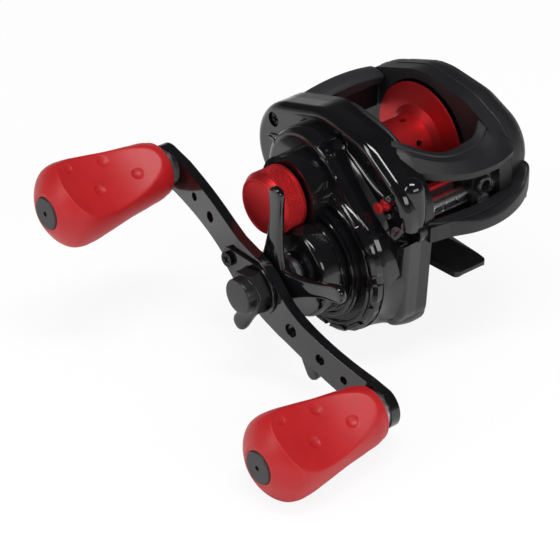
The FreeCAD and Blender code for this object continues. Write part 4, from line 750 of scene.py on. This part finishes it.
# the hood's inner and outer edges along X; a corner is how far it lies from the inner edge
# towards the outer one in y and in z, and a lift
hood = {"innerY": [(-21, 13.0), (-16, 14.6), (-12.5, 17.3), (-9, 19.8), (-4, 20.8), (4, 20.5),
                   (8, 18.7), (12.3, 15.2), (15.2, 12.0)],
        "outerY": [(-21, 22.0), (-18, 26.2), (-13, 28.6), (-6, 29.4), (2, 28.9), (8, 26.6),
                   (12.3, 23.6), (15.2, 21.4)],
        "innerZ": [(-21, 35.4), (-16, 36.4), (-12.5, 35.0), (-9, 33.2), (-4, 32.6), (4, 32.8),
                   (8, 34.0), (12.3, 36.1), (15.2, 36.9)],
        "outerZ": [(-21, 29.6), (-18, 29.2), (-13, 28.9), (-6, 28.8), (2, 29.6), (8, 30.4),
                   (12.3, 31.2), (15.2, 31.4)],
        "crease": [(0.30, 0.24, 0.45), (0.33, 0.28, 0.10), (0.62, 0.60, 0.75)]}


def hoodPiece():
    # the thumb rest: a raised inner edge, a crease, a slope and a short front face, swept from
    # the crank side's rim round to the palm side
    innerY, outerY = hood["innerY"], hood["outerY"]
    innerZ, outerZ = hood["innerZ"], hood["outerZ"]

    def shifted(pairs, step):
        return [(x, number + step) for x, number in pairs]

    def between(first, second, share, step=0.0):
        xs = np.linspace(-21, 15.2, 14)
        mixed = curveThrough(first, xs) * (1 - share) + curveThrough(second, xs) * share + step
        return list(zip(xs, mixed))

    corners = [(shifted(innerY, 0.5), shifted(innerZ, -2.4)), (innerY, shifted(innerZ, -0.4)),
               (shifted(innerY, 0.6), innerZ)]
    corners += [(between(innerY, outerY, inY), between(innerZ, outerZ, inZ, lift))
                for inY, inZ, lift in hood["crease"]]
    corners += [(shifted(outerY, -0.5), outerZ), (outerY, shifted(outerZ, -0.5)),
                (shifted(outerY, -0.4), shifted(outerZ, -2.5)),
                (shifted(outerY, -1.4), shifted(outerZ, -2.6))]
    mesh = swept("hood", np.linspace(-21, 15.2, 90), corners, sharp=30)
    rounded(place("thumbRest", mesh, "front_hood"), 0.3)


# corners of the bar's pad and skirt: (y, its share of the arch, z, its share of the arch)
thumb = {"ends": (-12.15, 11.95), "half": 12.3, "arch": 1.5,
         "pad": [(-24.9, 0, 30.9, 0), (-25.1, 0.2, 32.6, 1), (-24.3, 0.2, 33.5, 1),
                 (-22.0, 0, 33.9, 1), (-19.6, 0.3, 33.3, 1), (-18.7, 0.3, 32.5, 1),
                 (-19.2, 0.2, 30.9, 0)],
         "skirt": [(-22.6, 0, 31.2, 0), (-21.2, 0, 31.2, 0), (-21.5, 0, 22.6, 0),
                   (-22.4, 0, 22.6, 0)],
         "tongue": [(9.5, -23.0, 24.2), (13.0, -23.0, 24.2), (17.6, -23.0, 24.2)],
         "tongueThick": 1.25}


def thumbPieces():
    # the thumb bar: a pad whose corners rise by a parabola along X, a skirt that hides the gap
    # below it and a tongue into the crank side
    arch = [(x, thumb["arch"] * (1 - (x / thumb["half"]) ** 2))
            for x in np.linspace(-thumb["half"], thumb["half"], 9)]

    def arched(number, share):
        return [(x, number + share * lift) for x, lift in arch]

    def sweptBar(name, rows, sharp):
        corners = [(arched(y, inY), arched(z, inZ)) for y, inY, z, inZ in rows]
        return swept(name, np.linspace(*thumb["ends"], 60), corners, sharp)

    rounded(place("thumbPad", sweptBar("thumbPad", thumb["pad"], 26), "thumb_bar"), 0.25)
    attach("thumbSkirt", sweptBar("thumbSkirt", thumb["skirt"], 35), "thumb_lever", "black_metal")
    addRod("thumbTongue", thumb["tongue"], thumb["tongueThick"], "black_metal", "thumb_lever")


palmPieces()
flankPiece()
beadPieces()
drumPieces()
ribPieces()
lipPiece()
hoodPiece()
thumbPieces()
print("case")


worm = {"radius": 1.5, "grooveDeep": 0.42, "grooveSharp": 4.2, "pitch": 4.2}


def wormThread():
    # two crossing grooves cut into the shaft: depth where |sin| of either slanting phase is small
    low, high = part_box("worm_shaft")
    x, turn = np.meshgrid(np.linspace(low[0], high[0], 420),
                          np.linspace(0, 2 * pi, 48, endpoint=False), indexing="ij")
    along = x / mm * 2 * pi / worm["pitch"]
    near = np.minimum(np.abs(np.sin((along + turn) / 2)), np.abs(np.sin((along - turn) / 2)))
    inside = np.clip(np.minimum(x - low[0], high[0] - x) / mm / 3 - 0.6, 0, 1)
    groove = np.clip(1.5 - near * worm["grooveSharp"], 0, 1) * inside
    radius = (worm["radius"] - worm["grooveDeep"] * groove) * mm
    points = np.stack([x, wormAt[1] + radius * np.cos(turn), wormAt[2] + radius * np.sin(turn)], -1)
    place("wormThread", closedGrid("wormThread", points, 30), "worm_shaft")


wormThread()
print("worm")


studio = {"lens": 159.91, "sensor": 36, "at": (385.6425, 422.5323, 354.5473),
          "back": (0.530269, 0.647756, 0.547016), "right": (-0.773790, 0.633443, 0.0),
          "floorColour": (0.93, 0.93, 0.93), "floorHalf": 3.0, "floorGap": 0.0005, "whiter": 0.88,
          "horizon": (0.0, 0.25), "bright": 0.38, "dark": 0.04, "fill": 0.42,
          "lamps": {"overhead": ((0.10, 0.12, 0.75), (0, 0, 0.02), 0.45, 0.16, 2.9),
                    "crankSide": ((0.75, -0.15, 0.40), (0.02, 0, 0.02), 0.14, 0.5, 1.6),
                    "front": ((0.05, 0.80, 0.40), (0, 0, 0.02), 0.7, 0.24, 2.2)}}


def setCamera():
    camera = bpy.data.objects.new("camera", bpy.data.cameras.new("camera"))
    bpy.context.scene.collection.objects.link(camera)
    camera.data.lens, camera.data.sensor_width = studio["lens"], studio["sensor"]
    camera.data.clip_start, camera.data.clip_end = 0.01, 20
    back, right = Vector(studio["back"]), Vector(studio["right"])
    turn = Matrix((right, back.cross(right), back)).transposed()
    camera.matrix_world = Matrix.Translation(Vector(studio["at"]) * mm) @ turn.to_4x4()
    bpy.context.scene.camera = camera


def rayOf(paint, name):
    # 1 on rays of the named kind, 0 on others
    return Wire(paint, paint.tree.nodes.new("ShaderNodeLightPath").outputs[name])


def setFloor():
    # a pale floor that keeps the shadow and fades into the white round it
    half, drop = studio["floorHalf"], float(cadBox[0][2]) - studio["floorGap"]
    mesh = bpy.data.meshes.new("floor")
    mesh.from_pydata([(-half, -half, drop), (half, -half, drop), (half, half, drop),
                      (-half, half, drop)], [], [(0, 1, 2, 3)])
    floor = bpy.data.objects.new("floor", mesh)
    bpy.context.scene.collection.objects.link(floor)
    paint = Paint(bpy.data.materials.new("floor"))
    plain = paint.node("BsdfDiffuse", {}, {"Color": (*studio["floorColour"], 1)})
    white = paint.node("Emission", {}, {"Color": (1, 1, 1, 1), "Strength": 1.0})
    seen = rayOf(paint, "Is Camera Ray") * studio["whiter"]
    both = paint.node("MixShader", {}, {0: seen, 1: plain, 2: white})
    paint.tree.links.new(both.socket, paint.tree.nodes["Material Output"].inputs["Surface"])
    mesh.materials.append(paint.owner)


def setSurroundings():
    # white to the camera, plain light elsewhere; what gloss mirrors falls evenly from bright at
    # the horizon to dark overhead
    world = bpy.data.worlds.new("studio")
    bpy.context.scene.world = world
    sky = Paint(world)
    camera, gloss = rayOf(sky, "Is Camera Ray"), rayOf(sky, "Is Glossy Ray")
    height = sky.node("SeparateXYZ", {}, {0: sky.node("TexCoord")}, output=2)
    shine = (1.0 - height.clip(*studio["horizon"])) * studio["bright"] + studio["dark"]
    plain = (1.0 - gloss) * studio["fill"] + gloss * shine
    strength = camera + (1.0 - camera) * plain
    glow = sky.tree.nodes["Background"]
    glow.inputs["Color"].default_value = (1, 1, 1, 1)
    sky.tree.links.new(strength.socket, glow.inputs["Strength"])


def addLamp(name, at, target, wide, tall, watts):
    lamp = bpy.data.objects.new(name, bpy.data.lights.new(name, "AREA"))
    bpy.context.scene.collection.objects.link(lamp)
    lamp.data.shape, lamp.data.size, lamp.data.size_y = "RECTANGLE", wide, tall
    lamp.data.energy = watts
    aim = (Vector(target) - Vector(at)).to_track_quat("-Z", "Y")
    lamp.matrix_world = Matrix.LocRotScale(Vector(at), aim, Vector((1, 1, 1)))


setCamera()
setFloor()
setSurroundings()
for name, lamp in studio["lamps"].items():
    addLamp(name, *lamp)
bpy.context.scene.view_settings.view_transform = "Standard"
print("studio")
